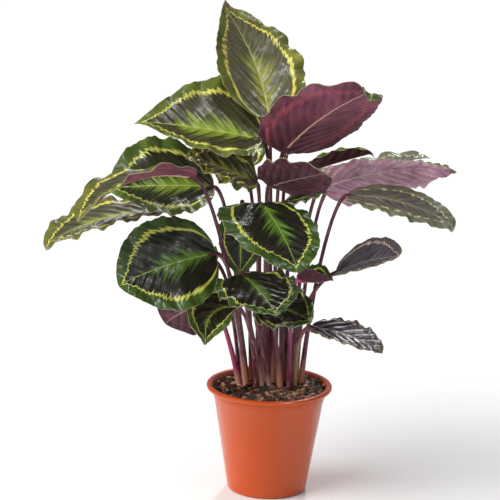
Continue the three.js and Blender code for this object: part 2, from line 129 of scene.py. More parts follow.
# ---- Leaf finishes ----
@dataclass(frozen=True)
class LeafMaps:
    """What a blade's own maps tell a material, as sockets of its node tree."""

    tree: Tree
    along: Socket
    share: Socket
    vein: Socket
    reach: Socket
    from_ring: Socket
    from_midrib: Socket
    fibre: Socket
    cloud: Socket

    @classmethod
    def read(cls, tree: Tree) -> "LeafMaps":
        """Adds the nodes that read the maps.

        Args:
            tree: The material's node tree.

        Returns:
            The sockets.
        """
        maps = [add(tree, "UVMap", {}, uv_map=name) for name in ("leaf", "veins", "ring")]
        along, across, vein, reach, from_ring, from_midrib = (
            add(tree, "SeparateXYZ", {0: uv}, axis) for uv in maps for axis in (0, 1)
        )
        share = add(tree, "Math", {0: across, 1: 2.0, 2: -1.0}, operation="MULTIPLY_ADD")
        share = add(tree, "Math", {0: share}, operation="ABSOLUTE")
        vein = add(tree, "Math", {0: vein, 1: MAP_SCALE}, operation="MULTIPLY")
        # Fibres are noise drawn out along the lateral veins, five to a vein and so about 2 mm wide.
        # Clouds are about 30 mm wide.
        across, outward = (
            add(tree, "Math", {0: value, 1: count}, operation="MULTIPLY")
            for value, count in ((vein, 5.0), (share, 2.5))
        )
        drawn_out = add(tree, "CombineXYZ", {0: across, 1: outward})
        place = add(tree, "TexCoord", {}, "Object")
        noises = (
            add(tree, "TexNoise", {"Vector": at, "Scale": scale, "Detail": 3.0})
            for at, scale in ((drawn_out, 1.0), (place, 34.0))
        )
        fibre, cloud = (add(tree, "MapRange", {"Value": n, "From Min": 0.3, "From Max": 0.7}) for n in noises)
        return cls(tree, along, share, vein, reach, from_ring, from_midrib, fibre, cloud)

    def comb(self, count: float) -> Socket:
        """A wave from 0 on each vein to 1 halfway to the next.

        Args:
            count: The veins in a pleat.

        Returns:
            The wave.
        """
        wave = self.vein
        for operation, value in (("MULTIPLY", count), ("PINGPONG", 0.5), ("MULTIPLY", 2.0)):
            wave = add(self.tree, "Math", {0: wave, 1: value}, operation=operation)
        return wave

    def draw(self, count: float, channel: int) -> Socket:
        """A random value for each vein.

        Args:
            count: The veins in a pleat.
            channel: Which of the vein's three values.

        Returns:
            The value, from 0 to 1.
        """
        index = add(self.tree, "Math", {0: self.vein, 1: count}, operation="MULTIPLY")
        index = add(self.tree, "Math", {0: index}, operation="FLOOR")
        colour = add(self.tree, "TexWhiteNoise", {"W": index}, "Color", noise_dimensions="1D")
        return add(self.tree, "SeparateColor", {0: colour}, channel)

    def dry_tip(self) -> Socket:
        """A ragged mask of the dried tip, which begins where the map passes 1."""
        ragged = add(self.tree, "Math", {0: self.fibre, 1: 0.03, 2: self.along}, operation="MULTIPLY_ADD")
        return add(self.tree, "MapRange", {"Value": ragged, "From Min": 1, "From Max": 1.025, "To Max": 0.9})

    def midrib(self, base: float, tip: float) -> Socket:
        """A mask of the midrib.

        Args:
            base: The half width at the base, in millimetres.
            tip: The half width at the tip, in millimetres.

        Returns:
            The mask.
        """
        ends = {"To Min": base / MAP_SCALE, "To Max": tip / MAP_SCALE}
        width = add(self.tree, "MapRange", {"Value": self.along, **ends})
        inside = add(self.tree, "Math", {0: width, 1: self.from_midrib}, operation="SUBTRACT")
        return add(self.tree, "MapRange", {"Value": inside, "From Min": -0.002, "From Max": 0.002})


@dataclass(frozen=True)
class LeafTop(Finish):
    """Upper side of a medallion-patterned blade: a waxy cuticle over green and near-black zones.

    The ring's sizes are shares of the blade's half width.
    """

    outer: str
    outer_dark: str
    inner: str
    inner_light: str
    feather: str
    feather_deep: str
    ring: str
    ring_deep: str
    midrib: str
    dry: str = "#8c7048"
    roughness: float = 0.27
    ring_step: float = 0.035
    ring_sag: float = -0.06
    spur: float = 0.13
    inner_half: float = 0.03
    outer_half: float = 0.012
    outer_spread: float = 0.045
    feather_root: float = 0.3
    feather_fringe: float = 0.2

    def paint(self, tree: Tree) -> dict:
        """Lays the zones, fine veins, feather, ring, midrib and dry tip over each other.

        Args:
            tree: The material's node tree.

        Returns:
            The shader's inputs.
        """
        maps = LeafMaps.read(tree)
        zone, ring = self.ring_masks(maps)
        outer, inner, green, yellow = (
            add(tree, "Mix", {0: mask, 6: low, 7: high}, 2, data_type="RGBA")
            for mask, low, high in (
                (maps.cloud, self.outer_dark, self.outer),
                (maps.fibre, self.inner, self.inner_light),
                (maps.fibre, self.feather_deep, self.feather),
                (maps.cloud, self.ring_deep, self.ring),
            )
        )
        fine = maps.comb(4.0)
        line = add(tree, "MapRange", {"Value": fine, "From Max": 0.5, "To Min": 0.62, "To Max": 1.08})
        colour = inner
        for mask, over, blend in (
            (zone, outer, "MIX"), (1.0, line, "MULTIPLY"), (self.feather_mask(maps), green, "MIX"),
            (ring, yellow, "MIX"), (maps.midrib(1.1, 0.35), self.midrib, "MIX"),
            (maps.dry_tip(), self.dry, "MIX"),
        ):
            colour = add(tree, "Mix", {0: mask, 6: colour, 7: over}, 2, data_type="RGBA", blend_type=blend)
        # The cuticle's grain is about 2 mm, between fine veins 2 mm apart.
        place = add(tree, "TexCoord", {}, "Object")
        grain = add(tree, "TexNoise", {"Vector": place, "Scale": 520.0, "Detail": 2.0})
        relief = add(tree, "Math", {0: grain, 1: 0.5, 2: fine}, operation="MULTIPLY_ADD")
        bump = add(tree, "Bump", {"Strength": 0.45, "Distance": 0.0003, "Height": relief})
        ends = {"To Min": self.roughness - 0.05, "To Max": self.roughness + 0.09}
        rough = add(tree, "MapRange", {"Value": maps.fibre, **ends})
        return {"Base Color": colour, "Roughness": rough, "IOR": 1.45, "Normal": bump, "Coat Weight": 0.05,
                "Coat Roughness": 0.15}

    def feather_mask(self, maps: LeafMaps) -> Socket:
        """Bright streaks that leave the midrib along the veins, each of its own length, and fade outwards.

        Args:
            maps: The blade's maps.

        Returns:
            The mask.
        """
        tree = maps.tree
        narrow = add(tree, "MapRange", {"Value": maps.draw(1.0, 2), "To Min": 0.35, "To Max": 1.3})
        taper = add(tree, "Math", {0: maps.comb(1.0), 1: narrow}, operation="POWER")
        root = self.feather_root
        taper = add(tree, "Math", {0: taper, 1: 1 - root, 2: root}, operation="MULTIPLY_ADD")
        length = add(tree, "MapRange", {"Value": maps.draw(1.0, 0), "To Min": 0.35, "To Max": 1.25})
        reach = maps.reach
        for factor in (length, taper):
            reach = add(tree, "Math", {0: reach, 1: factor}, operation="MULTIPLY")
        left = add(tree, "Math", {0: reach, 1: maps.share}, operation="SUBTRACT")
        left = add(tree, "Math", {0: maps.fibre, 1: self.feather_fringe, 2: left}, operation="MULTIPLY_ADD")
        streak = add(tree, "MapRange", {"Value": left, "From Min": 0.05, "From Max": 0.21})
        ends = {"From Min": 0.05, "From Max": 0.42, "To Min": 1.0, "To Max": 0.42}
        fade = add(tree, "MapRange", {"Value": maps.share, **ends})
        return add(tree, "Math", {0: streak, 1: fade}, operation="MULTIPLY")

    def ring_masks(self, maps: LeafMaps) -> tuple[Socket, Socket]:
        """The outer zone, and the band with teeth that runs round the inner one.

        Args:
            maps: The blade's maps.

        Returns:
            The masks of the outer zone and of the ring.
        """
        tree = maps.tree
        # Near the petiole the veins run almost along the ring, so its teeth shrink there.
        grown = add(tree, "MapRange", {"Value": maps.along, "From Min": 0.2, "From Max": 0.6, "To Min": 0.15})
        ends = {"To Min": -self.ring_step, "To Max": self.ring_step}
        step = add(tree, "MapRange", {"Value": maps.draw(2.0, 0), **ends})
        step = add(tree, "Math", {0: maps.comb(1.0), 1: self.ring_sag, 2: step}, operation="MULTIPLY_ADD")
        band = add(tree, "Math", {0: step, 1: grown, 2: maps.from_ring}, operation="MULTIPLY_ADD")
        spur = add(tree, "Math", {0: maps.comb(2.0), 1: 2.0}, operation="POWER")
        for factor in (maps.draw(2.0, 1), grown):
            spur = add(tree, "Math", {0: spur, 1: factor}, operation="MULTIPLY")
        inward = add(tree, "Math", {0: spur, 1: self.spur, 2: self.inner_half}, operation="MULTIPLY_ADD")
        outward = add(tree, "Math", {0: maps.draw(2.0, 2), 1: self.outer_spread, 2: self.outer_half},
                      operation="MULTIPLY_ADD")
        edges = (add(tree, "Math", {0: band, 1: inward}, operation="ADD"),
                 add(tree, "Math", {0: outward, 1: band}, operation="SUBTRACT"))
        inside, outside = (
            add(tree, "MapRange", {"Value": edge, "From Min": -0.012, "From Max": 0.016}) for edge in edges
        )
        ring = add(tree, "Math", {0: inside, 1: outside}, operation="MULTIPLY")
        return add(tree, "MapRange", {"Value": band, "From Min": -0.01, "From Max": 0.02}), ring


@dataclass(frozen=True)
class LeafUnder(Finish):
    """Lower side of a blade: wine-red and satin, with the ring showing through as a redder band."""

    base: str
    base_dark: str
    ring: str
    vein: str
    midrib: str
    dry: str = "#7a5540"
    roughness: float = 0.42

    def paint(self, tree: Tree) -> dict:
        """Lays the fibres, ring, veins, midrib and dry tip over the wine-red.

        Args:
            tree: The material's node tree.

        Returns:
            The shader's inputs.
        """
        maps = LeafMaps.read(tree)
        step = add(tree, "MapRange", {"Value": maps.draw(2.0, 0), "To Min": -0.05, "To Max": 0.05})
        band = add(tree, "Math", {0: maps.from_ring, 1: step}, operation="ADD")
        band = add(tree, "Math", {0: band}, operation="ABSOLUTE")
        ends = {"From Min": 0.02, "From Max": 0.1, "To Min": 0.6, "To Max": 0.0}
        band = add(tree, "MapRange", {"Value": band, **ends}, interpolation_type="SMOOTHSTEP")
        shade = add(tree, "MapRange", {"Value": maps.fibre, "To Min": 0.7, "To Max": 1.15})
        line = add(tree, "MapRange", {"Value": maps.comb(0.5), "From Max": 0.09, "To Min": 0.7, "To Max": 0})
        colour = self.base_dark
        for mask, over, blend in (
            (maps.cloud, self.base, "MIX"), (1.0, shade, "MULTIPLY"), (band, self.ring, "MIX"),
            (line, self.vein, "MIX"), (maps.midrib(1.5, 0.4), self.midrib, "MIX"),
            (maps.dry_tip(), self.dry, "MIX"),
        ):
            colour = add(tree, "Mix", {0: mask, 6: colour, 7: over}, 2, data_type="RGBA", blend_type=blend)
        bump = add(tree, "Bump", {"Strength": 0.4, "Distance": 0.0003, "Height": maps.comb(4.0)}, invert=True)
        return {"Base Color": colour, "Roughness": self.roughness, "IOR": 1.42, "Normal": bump,
                "Sheen Weight": 0.08, "Sheen Roughness": 0.4}


@dataclass(frozen=True)
class LeafMargin(Finish):
    """The blade's cut edge: pale, partly its own slightly dry tissue and partly a painted highlight where the
    edge catches the light.
    """

    dark: str = "#6b6a3c"
    light: str = "#c9c79a"

    def paint(self, tree: Tree) -> dict:
        """Mottles a matt edge over about 17 mm.

        Args:
            tree: The material's node tree.

        Returns:
            The shader's inputs.
        """
        place = add(tree, "TexCoord", {}, "Object")
        cloud = add(tree, "TexNoise", {"Vector": place, "Scale": 60.0, "Detail": 2.0})
        colour = add(tree, "Mix", {0: cloud, 6: self.dark, 7: self.light}, 2, data_type="RGBA")
        return {"Base Color": colour, "Roughness": 0.5}


@dataclass(frozen=True)
class PetioleSkin(Finish):
    """Fleshy stalk: smooth wine-red skin, paler at the sheath, with pale streaks along it that are partly its
    own striping and partly painted highlights.
    """

    base: str
    middle: str
    top: str
    streak: str
    pale_until: float = 0.24
    streaks_around: float = 18.0
    streaks_along: float = 9.0
    ridges: float = 14.0

    def paint(self, tree: Tree) -> dict:
        """Fades the sheath into the stalk, and draws streaks a millimetre wide along it, partly striping and
        partly painted highlights.

        Args:
            tree: The material's node tree.

        Returns:
            The shader's inputs.
        """
        stalk = add(tree, "UVMap", {}, uv_map="stalk")
        along, around = (add(tree, "SeparateXYZ", {0: stalk}, axis) for axis in (0, 1))
        across, upward, ridges = (
            add(tree, "Math", {0: value, 1: count}, operation="MULTIPLY")
            for value, count in (
                (around, self.streaks_around), (along, self.streaks_along), (around, self.ridges))
        )
        drawn_out = add(tree, "CombineXYZ", {0: across, 1: upward})
        lines = add(tree, "TexNoise", {"Vector": drawn_out, "Scale": 1.0, "Detail": 3.0})
        colour = self.base
        # The last layer's pale streaks are partly the skin's striping and partly painted highlights.
        for value, start, end, most, over in (
            (along, 0.1, self.pale_until, 1.0, self.middle), (along, 0.45, 1.0, 1.0, self.top),
            (lines, 0.54, 0.7, 0.55, self.streak),
        ):
            mask = add(tree, "MapRange", {"Value": value, "From Min": start, "From Max": end, "To Max": most})
            colour = add(tree, "Mix", {0: mask, 6: colour, 7: over}, 2, data_type="RGBA")
        ridges = add(tree, "Math", {0: ridges, 1: 0.5}, operation="PINGPONG")
        bump = add(tree, "Bump", {"Strength": 0.25, "Distance": 0.0004, "Height": ridges})
        return {"Base Color": colour, "Roughness": 0.26, "IOR": 1.42, "Normal": bump, "Coat Weight": 0.1,
                "Coat Roughness": 0.25}


# ---- Pot and studio finishes ----
@dataclass(frozen=True)
class PotPlastic(Finish):
    """Injection-moulded polypropylene: even colour, satin gloss, faint flow marks and fine scuffs."""

    name: str = "pot_moulded_polypropylene"
    colour: str = "#c24c14"
    worn: str = "#c05a2a"

    def paint(self, tree: Tree) -> dict:
        """Lays flow marks about 70 mm wide and scuffs of 6 mm by 1 mm over the colour.

        Args:
            tree: The material's node tree.

        Returns:
            The shader's inputs.
        """
        place = add(tree, "TexCoord", {}, "Object")
        flat = add(tree, "Mapping", {0: place, 3: (1.0, 1.0, 6.0)})
        cloud = add(tree, "TexNoise", {"Vector": place, "Scale": 14.0, "Detail": 3.0})
        scuffs = add(tree, "TexNoise", {"Vector": flat, "Scale": 160.0, "Detail": 4.0, "Roughness": 0.7})
        wear, tint = (
            add(tree, "MapRange", {"Value": value, "From Min": start, "From Max": end, "To Max": most})
            for value, start, end, most in ((scuffs, 0.6, 0.78, 0.35), (cloud, 0.3, 0.7, 0.25))
        )
        wear = add(tree, "Math", {0: wear, 1: tint}, operation="MAXIMUM")
        colour = add(tree, "Mix", {0: wear, 6: self.colour, 7: self.worn}, 2, data_type="RGBA")
        # A moulded skin's orange peel, drawn at 1 mm so that it shows.
        peel = add(tree, "TexNoise", {"Vector": place, "Scale": 900.0, "Detail": 1.0})
        bump = add(tree, "Bump", {"Strength": 0.08, "Distance": 0.0002, "Height": peel})
        rough = add(tree, "MapRange", {"Value": scuffs, "To Min": 0.15, "To Max": 0.3})
        return {"Base Color": colour, "Roughness": rough, "IOR": 1.49, "Specular IOR Level": 0.45,
                "Normal": bump}


@dataclass(frozen=True)
class Crumb(Finish):
    """A natural loose material of the mix: peat, bark, fibre or a white mineral grain, dull and pitted.

    Its scale counts lumps per metre, so 260 makes them about 4 mm wide and 500 about 2 mm.
    """

    dark: str
    light: str
    scale: float
    roughness: float = 0.9

    def paint(self, tree: Tree) -> dict:
        """Mottles a rough crumb between its two colours, with pits of the same pattern.

        Args:
            tree: The material's node tree.

        Returns:
            The shader's inputs.
        """
        place = add(tree, "TexCoord", {}, "Object")
        cloud = add(tree, "TexNoise", {"Vector": place, "Scale": self.scale, "Detail": 5.0, "Roughness": 0.7})
        tint = add(tree, "MapRange", {"Value": cloud, "From Min": 0.35, "From Max": 0.68})
        colour = add(tree, "Mix", {0: tint, 6: self.dark, 7: self.light}, 2, data_type="RGBA")
        bump = add(tree, "Bump", {"Strength": 0.6, "Distance": 0.0006, "Height": cloud})
        return {"Base Color": colour, "Roughness": self.roughness, "Normal": bump}


@dataclass(frozen=True)
class FloorPaper(Finish):
    """Plain pale studio paper: matt and even."""

    name: str = "studio_floor_paper"
    grey: float = 0.93

    def paint(self, tree: Tree) -> dict:
        """The inputs of one even grey."""
        grey = (self.grey, self.grey, self.grey, 1)
        return {"Base Color": grey, "Roughness": 0.9, "Specular IOR Level": 0.1}


class Tone(Enum):
    """A blade's upper side in sets of tone and painted light: the upper leaves painted lit and yellower, the
    lower ones shaded deep green.
    """

    # The palest set, with painted light and sheen, for the crown and a leaf in the middle.
    OLIVE = LeafTop("blade_top_olive", "#8b8d37", "#565c1f", "#3c3e2a", "#827d5a", "#bdc24e", "#82853d",
                    "#ffff89", "#f2dc66", "#d4ce7d")
    # A lighter set with painted light, for the upper leaves.
    FRESH = LeafTop("blade_top_lit_fresh", "#828f35", "#4e5c1d", "#2c2d1b", "#605d3a", "#b8d244", "#778c2e",
                    "#ffff7f", "#e4e163", "#ced467")
    MEADOW = LeafTop("blade_top_meadow", "#718b35", "#3e5921", "#1f2416", "#464930", "#b0cc50", "#6a8836",
                     "#ffff88", "#e6f06e", "#cadf6c")
    DEEP = LeafTop("blade_top_deep", "#517227", "#293f18", "#13180f", "#303223", "#78a639", "#426a25",
                   "#f2fd76", "#c8c756", "#a0b556")
    SILVERY = LeafTop("blade_top_silvery", "#8d9274", "#666852", "#4f5044", "#7c7b6d", "#959879", "#737459",
                      "#edebb0", "#beba8d", "#bcb896")
    DUSKY = LeafTop("blade_top_dusky", "#6a655f", "#464247", "#343237", "#6a646b", "#74766e", "#555753",
                    "#e3d2b5", "#a39989", "#a39d95")
    WORN = LeafTop("blade_top_worn", "#7d7e32", "#42471c", "#222517", "#625b3f", "#a1b144", "#626d2b",
                   "#f4ef70", "#c4b953", "#bbb96c", roughness=0.36)


class Under(Enum):
    """How a blade's lower side takes the light, painted into its colour: wine-red as it is, a darker copy as
    painted shade, a paler rose copy as painted light.
    """

    WINE = LeafUnder("blade_under_wine", "#945167", "#653545", "#b75562", "#512837", "#e0af98")
    SHADED = LeafUnder("blade_under_shaded", "#683c4a", "#4a2a32", "#7a3842", "#361c24", "#a87d6f")
    # A paler rose copy of the wine-red: painted light on a leaf that the lamps light less.
    ROSE = LeafUnder("blade_under_lit_rose", "#f6cce0", "#b8889e", "#e2a8bc", "#8a5c72", "#f6dcd2", roughness=0.3)


class Skin(Enum):
    """The colour of a petiole."""

    WINE = PetioleSkin("petiole_wine", "#d89a7c", "#5e2838", "#52202f", "#e8a8a0")
    MAGENTA = PetioleSkin("petiole_magenta", "#e0b09a", "#a0365e", "#702848", "#c46c8a", 0.2)
    # A brighter pink copy: painted light on the lit side of a stalk.
    PINK = PetioleSkin("petiole_lit_pink", "#cc9078", "#783050", "#f0609c", "#c8708e")
    TAN = PetioleSkin("petiole_tan", "#cdb08c", "#a88264", "#6c3c40", "#d6b48c", 0.45)
    PALE = PetioleSkin("petiole_pale_base", "#f4ccb0", "#6a3044", "#502234", "#e0a09a", 0.34)


# ---- Mesh helpers ----
def primitive(operator: Callable, name: str, **sizes) -> Piece:
    """Adds a primitive while nothing is selected.

    Args:
        operator: The bpy.ops operator that adds it.
        name: The name of the object and its mesh.
        **sizes: What the operator is given.

    Returns:
        The new object, which is selected and active.
    """
    bpy.ops.object.select_all(action="DESELECT")
    operator(**sizes)
    piece = bpy.context.object
    piece.name = piece.data.name = name
    return piece


def long_cylinder(name: str, sides: int, radius: float, depth: float, cuts: int) -> Piece:
    """Adds a cylinder whose long edges are cut into even steps.

    Args:
        name: The object's name.
        sides: How many sides it has.
        radius: Its radius.
        depth: Its length along Z.
        cuts: How many cuts each long edge gets.

    Returns:
        The new object.
    """
    piece = primitive(bpy.ops.mesh.primitive_cylinder_add, name, vertices=sides, radius=radius, depth=depth,
                      end_fill_type="NGON")
    bpy.ops.object.mode_set(mode="EDIT")
    bpy.ops.mesh.select_mode(type="EDGE")
    bpy.ops.mesh.select_all(action="DESELECT")
    form = bmesh.from_edit_mesh(piece.data)
    for edge in form.edges:
        edge.select = abs(edge.verts[0].co.z - edge.verts[1].co.z) > depth / 2
    bmesh.update_edit_mesh(piece.data)
    bpy.ops.mesh.subdivide(number_cuts=cuts)
    bpy.ops.object.mode_set(mode="OBJECT")
    return piece


def make_active(piece: Piece) -> None:
    """Selects one object and makes it the active one.

    Args:
        piece: The object.
    """
    bpy.ops.object.select_all(action="DESELECT")
    piece.select_set(True)
    bpy.context.view_layer.objects.active = piece


def face_outwards(piece: Piece, merge: float = 0.0) -> None:
    """Turns every face outwards.

    Args:
        piece: The mesh object.
        merge: The distance within which vertices are merged first, in metres.
    """
    make_active(piece)
    bpy.ops.object.mode_set(mode="EDIT")
    bpy.ops.mesh.select_all(action="SELECT")
    if merge:
        bpy.ops.mesh.remove_doubles(threshold=merge)
    bpy.ops.mesh.normals_make_consistent(inside=False)
    bpy.ops.object.mode_set(mode="OBJECT")


def apply_modifier(piece: Piece, modifier: bpy.types.Modifier) -> None:
    """Applies one modifier."""
    make_active(piece)
    bpy.ops.object.modifier_apply(modifier=modifier.name)


def vertices_of(piece: Piece) -> Array:
    """The mesh's vertices.

    Args:
        piece: The mesh object.

    Returns:
        One row of x, y and z for each vertex.
    """
    points = np.empty(len(piece.data.vertices) * 3)
    piece.data.vertices.foreach_get("co", points)
    return points.reshape(-1, 3)


def place_vertices(piece: Piece, points: Array) -> None:
    """Moves the mesh's vertices, given in metres."""
    piece.data.vertices.foreach_set("co", points.astype(np.float32).ravel())
    piece.data.update()


def add_map(piece: Piece, name: str, first: Array, second: Array) -> None:
    """Gives the mesh a map with two values for each vertex.

    Args:
        piece: The mesh object.
        name: The map's name.
        first: The first value at each vertex.
        second: The second value at each vertex.
    """
    mesh = piece.data
    corners = np.empty(len(mesh.loops), dtype=np.int32)
    mesh.loops.foreach_get("vertex_index", corners)
    layer = mesh.uv_layers.new(name=name)
    layer.data.foreach_set("uv", np.column_stack([first, second])[corners].astype(np.float32).ravel())


def dress(piece: Piece, node: str | None, slot: str, *finishes: Finish, smooth: float = 0.0) -> None:
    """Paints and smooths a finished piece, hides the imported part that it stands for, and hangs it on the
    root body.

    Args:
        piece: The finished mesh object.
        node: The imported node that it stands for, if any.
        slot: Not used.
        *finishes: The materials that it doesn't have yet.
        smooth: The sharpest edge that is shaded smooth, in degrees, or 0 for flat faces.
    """
    for finish in finishes:
        piece.data.materials.append(material_of(finish))
    if smooth:
        make_active(piece)
        bpy.ops.object.shade_smooth_by_angle(angle=math.radians(smooth))
    if node is not None:
        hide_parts(node)
    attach(piece, "root")
    LOG.info("%s: %d faces", piece.name, len(piece.data.polygons))


def noise(points: Array, size: float, seed: int, octaves: int = 3) -> Array:
    """Smooth noise from sums of turned sine waves.

    Args:
        points: Points in millimetres, one row each.
        size: The size of the largest lumps, in millimetres.
        seed: Picks the waves.
        octaves: How many layers there are, each twice as fine as the one before.

    Returns:
        A value from about -1 to 1 for each point.
    """
    waves, fade, spread = 5, 0.55, 2.2
    random = np.random.default_rng(seed)
    total = np.zeros(len(points))
    weight = 0.0
    for octave in range(octaves):
        strength = fade**octave
        for _ in range(waves):
            direction = random.normal(size=points.shape[1])
            direction *= 2 * math.pi * 2**octave / (size * np.linalg.norm(direction))
            total += strength * np.sin(points @ direction + random.uniform(0, TURN))
        weight += strength * spread
    return total / weight


# ---- Leaves ----
PETIOLE_TOP_RADIUS = 2.3
TIP_HALF_WIDTH = 0.8
TIP_POINT = 0.4
MIDRIB_STEPS = 1600
VEIN_SPACING = 8.5
VEIN_SWEEP = (0.95, 0.35)
FRILL_RATE = 2.3
NICK_DEPTH = 0.012
NICKS = ((46, 5, 1.0), (97, 9, 0.8))  # along the margin: how close, how they start, and their share
RING_CLOSING = (0.5, 0.46, 2.4)  # where the ring starts to close, over what part, and how roundly
FEATHER_START = 0.06
FEATHER_ROUNDNESS = 0.8
LEAST_BEND = 1e-6


@dataclass
class Leaf:
    """One leaf's sizes, in millimetres and degrees, as in the solids, and its own looks.

    Heading, pitch and roll run from neck to tip. Cup, curl and wave are the left and the right half's.
    """

    name: str
    root: tuple[float, float]
    neck: tuple[float, float, float]
    heading: tuple[float, float]
    pitch: tuple[float, float]
    roll: tuple[float, float]
    length: float
    width: float
    widest: float
    point: float
    lean: float
    cup: tuple[float, float]
    curl: tuple[float, float]
    wave: tuple[float, float]
    phase: float
    tone: Tone = Tone.DEEP
    under: Under = Under.WINE
    skin: Skin = Skin.WINE
    ripples: float = 4.5
    sheath: float = 4.3
    bend: float = 22
    feather_reach: float = 0.42
    feather_end: float = 0.8
    ring_share: float = 0.72
    ring_width: float = 1.0
    frill: float = 0.25
    tip_turn: float = -35
    tip_share: float = 0.1
    dryness: float = 0.0
    pleat: float = 0.4

    def outline(self, u: Array) -> Array:
        """The half width at u as a share of the widest."""
        warped = np.minimum(u ** (math.log(0.5) / math.log(self.widest)), 1)
        return np.sin(np.pi * warped).clip(0) ** (self.point * (1 + TIP_POINT * u**4))

    def half_width(self, u: Array) -> Array:
        """The half width at u, in millimetres."""
        least = PETIOLE_TOP_RADIUS + (TIP_HALF_WIDTH - PETIOLE_TOP_RADIUS) * u
        return np.maximum(self.outline(u) * self.width / 2, least)

    def axes(self, u: Array) -> tuple[Array, Array, Array]:
        """The blade's own directions.

        Args:
            u: From 0 at the neck to 1 at the tip.

        Returns:
            The directions along the midrib, to the left and upwards, one row for each u.
        """
        turn, tilt, twist = (np.radians(a + (b - a) * u) for a, b in (self.heading, self.pitch, self.roll))
        forward = np.column_stack([np.cos(tilt) * np.cos(turn), np.cos(tilt) * np.sin(turn), np.sin(tilt)])
        level = np.column_stack([-np.sin(turn), np.cos(turn), np.zeros_like(turn)])
        above = np.cross(forward, level)
        cosine, sine = np.cos(twist)[:, None], np.sin(twist)[:, None]
        return forward, level * cosine + above * sine, above * cosine - level * sine

    def midrib(self, u: Array) -> Array:
        """The midrib's points.

        Args:
            u: From 0 at the neck to 1 at the tip.

        Returns:
            The points in millimetres.
        """
        fine = np.linspace(0, 1, MIDRIB_STEPS + 1)
        forward, _, _ = self.axes((fine[1:] + fine[:-1]) / 2)
        path = np.cumsum(forward * self.length / MIDRIB_STEPS, axis=0)
        path = np.vstack([np.zeros(3), path]) + np.array(self.neck)
        return np.column_stack([np.interp(u, fine, path[:, k]) for k in range(3)])

    def surface(self, u: Array, share: Array) -> tuple[Array, Array, Array]:
        """The middle of the blade's thickness.

        Args:
            u: From 0 at the neck to 1 at the tip.
            share: From -1 at the right margin to 1 at the left one.

        Returns:
            The points in millimetres, the normals, and the distances from the midrib in millimetres.
        """
        forward, left, up = self.axes(u)
        half = np.where(share > 0, 0, 1)
        reach, side = np.abs(share), np.sign(share)
        start = np.radians(np.array(self.cup, float))[half]
        bend = np.radians(np.array(self.curl, float))[half] + LEAST_BEND
        slope = start + bend * reach
        out = (np.sin(slope) - np.sin(start)) / bend
        rise = (np.cos(start) - np.cos(slope)) / bend
        phase = self.phase + 2 * half
        turns = TURN * self.ripples * u
        frill = self.frill * np.sin(FRILL_RATE * turns + 3 * phase)
        ripple = np.sin(turns + phase) * reach**3 + frill * reach**6
        nicks = sum(share_of * np.sin(rate * u + first * phase) for rate, first, share_of in NICKS)
        lateral = self.half_width(u) * (1 + side * self.lean) * (1 + NICK_DEPTH * nicks * reach**6)
        height = lateral * rise + np.array(self.wave, float)[half] * self.outline(u) * ripple
        points = self.midrib(u) + left * (lateral * side * out)[:, None] + up * height[:, None]
        normal = up * np.cos(slope)[:, None] - left * (side * np.sin(slope))[:, None]
        # The tip rolls on a circle: upwards with a positive turn, downwards with a negative one.
        rolled = self.tip_share * self.length
        over = (u - 1 + self.tip_share).clip(0) * self.length
        turned = over / rolled * math.radians(self.tip_turn)
        radius = rolled / math.radians(self.tip_turn)
        ahead, above = radius * np.sin(turned) - over, radius * (1 - np.cos(turned))
        points += forward * ahead[:, None] + up * above[:, None]
        normal = normal * np.cos(turned)[:, None] - forward * np.sin(turned)[:, None]
        return points, normal, lateral * reach

    def veins(self, u: Array, lateral: Array) -> Array:
        """The lateral vein through each point, counted along the midrib, with a part for between two."""
        back, curved = VEIN_SWEEP
        return (u * self.length - back * lateral - curved * lateral**2 / (self.width / 2)) / VEIN_SPACING

    def ring(self, u: Array) -> Array:
        """The share of the half width at which the ring runs."""
        start, over, roundness = RING_CLOSING
        return self.ring_share * (1 - ((u - start) / over).clip(0) ** roundness)

    def feather(self, vein: Array) -> Array:
        """How far the bright streak on a vein reaches, as a share of the half width."""
        along = (vein * VEIN_SPACING / self.length + FEATHER_START) / (self.feather_end + FEATHER_START)
        return self.feather_reach * np.sin(np.pi * along.clip(0, 1)) ** FEATHER_ROUNDNESS


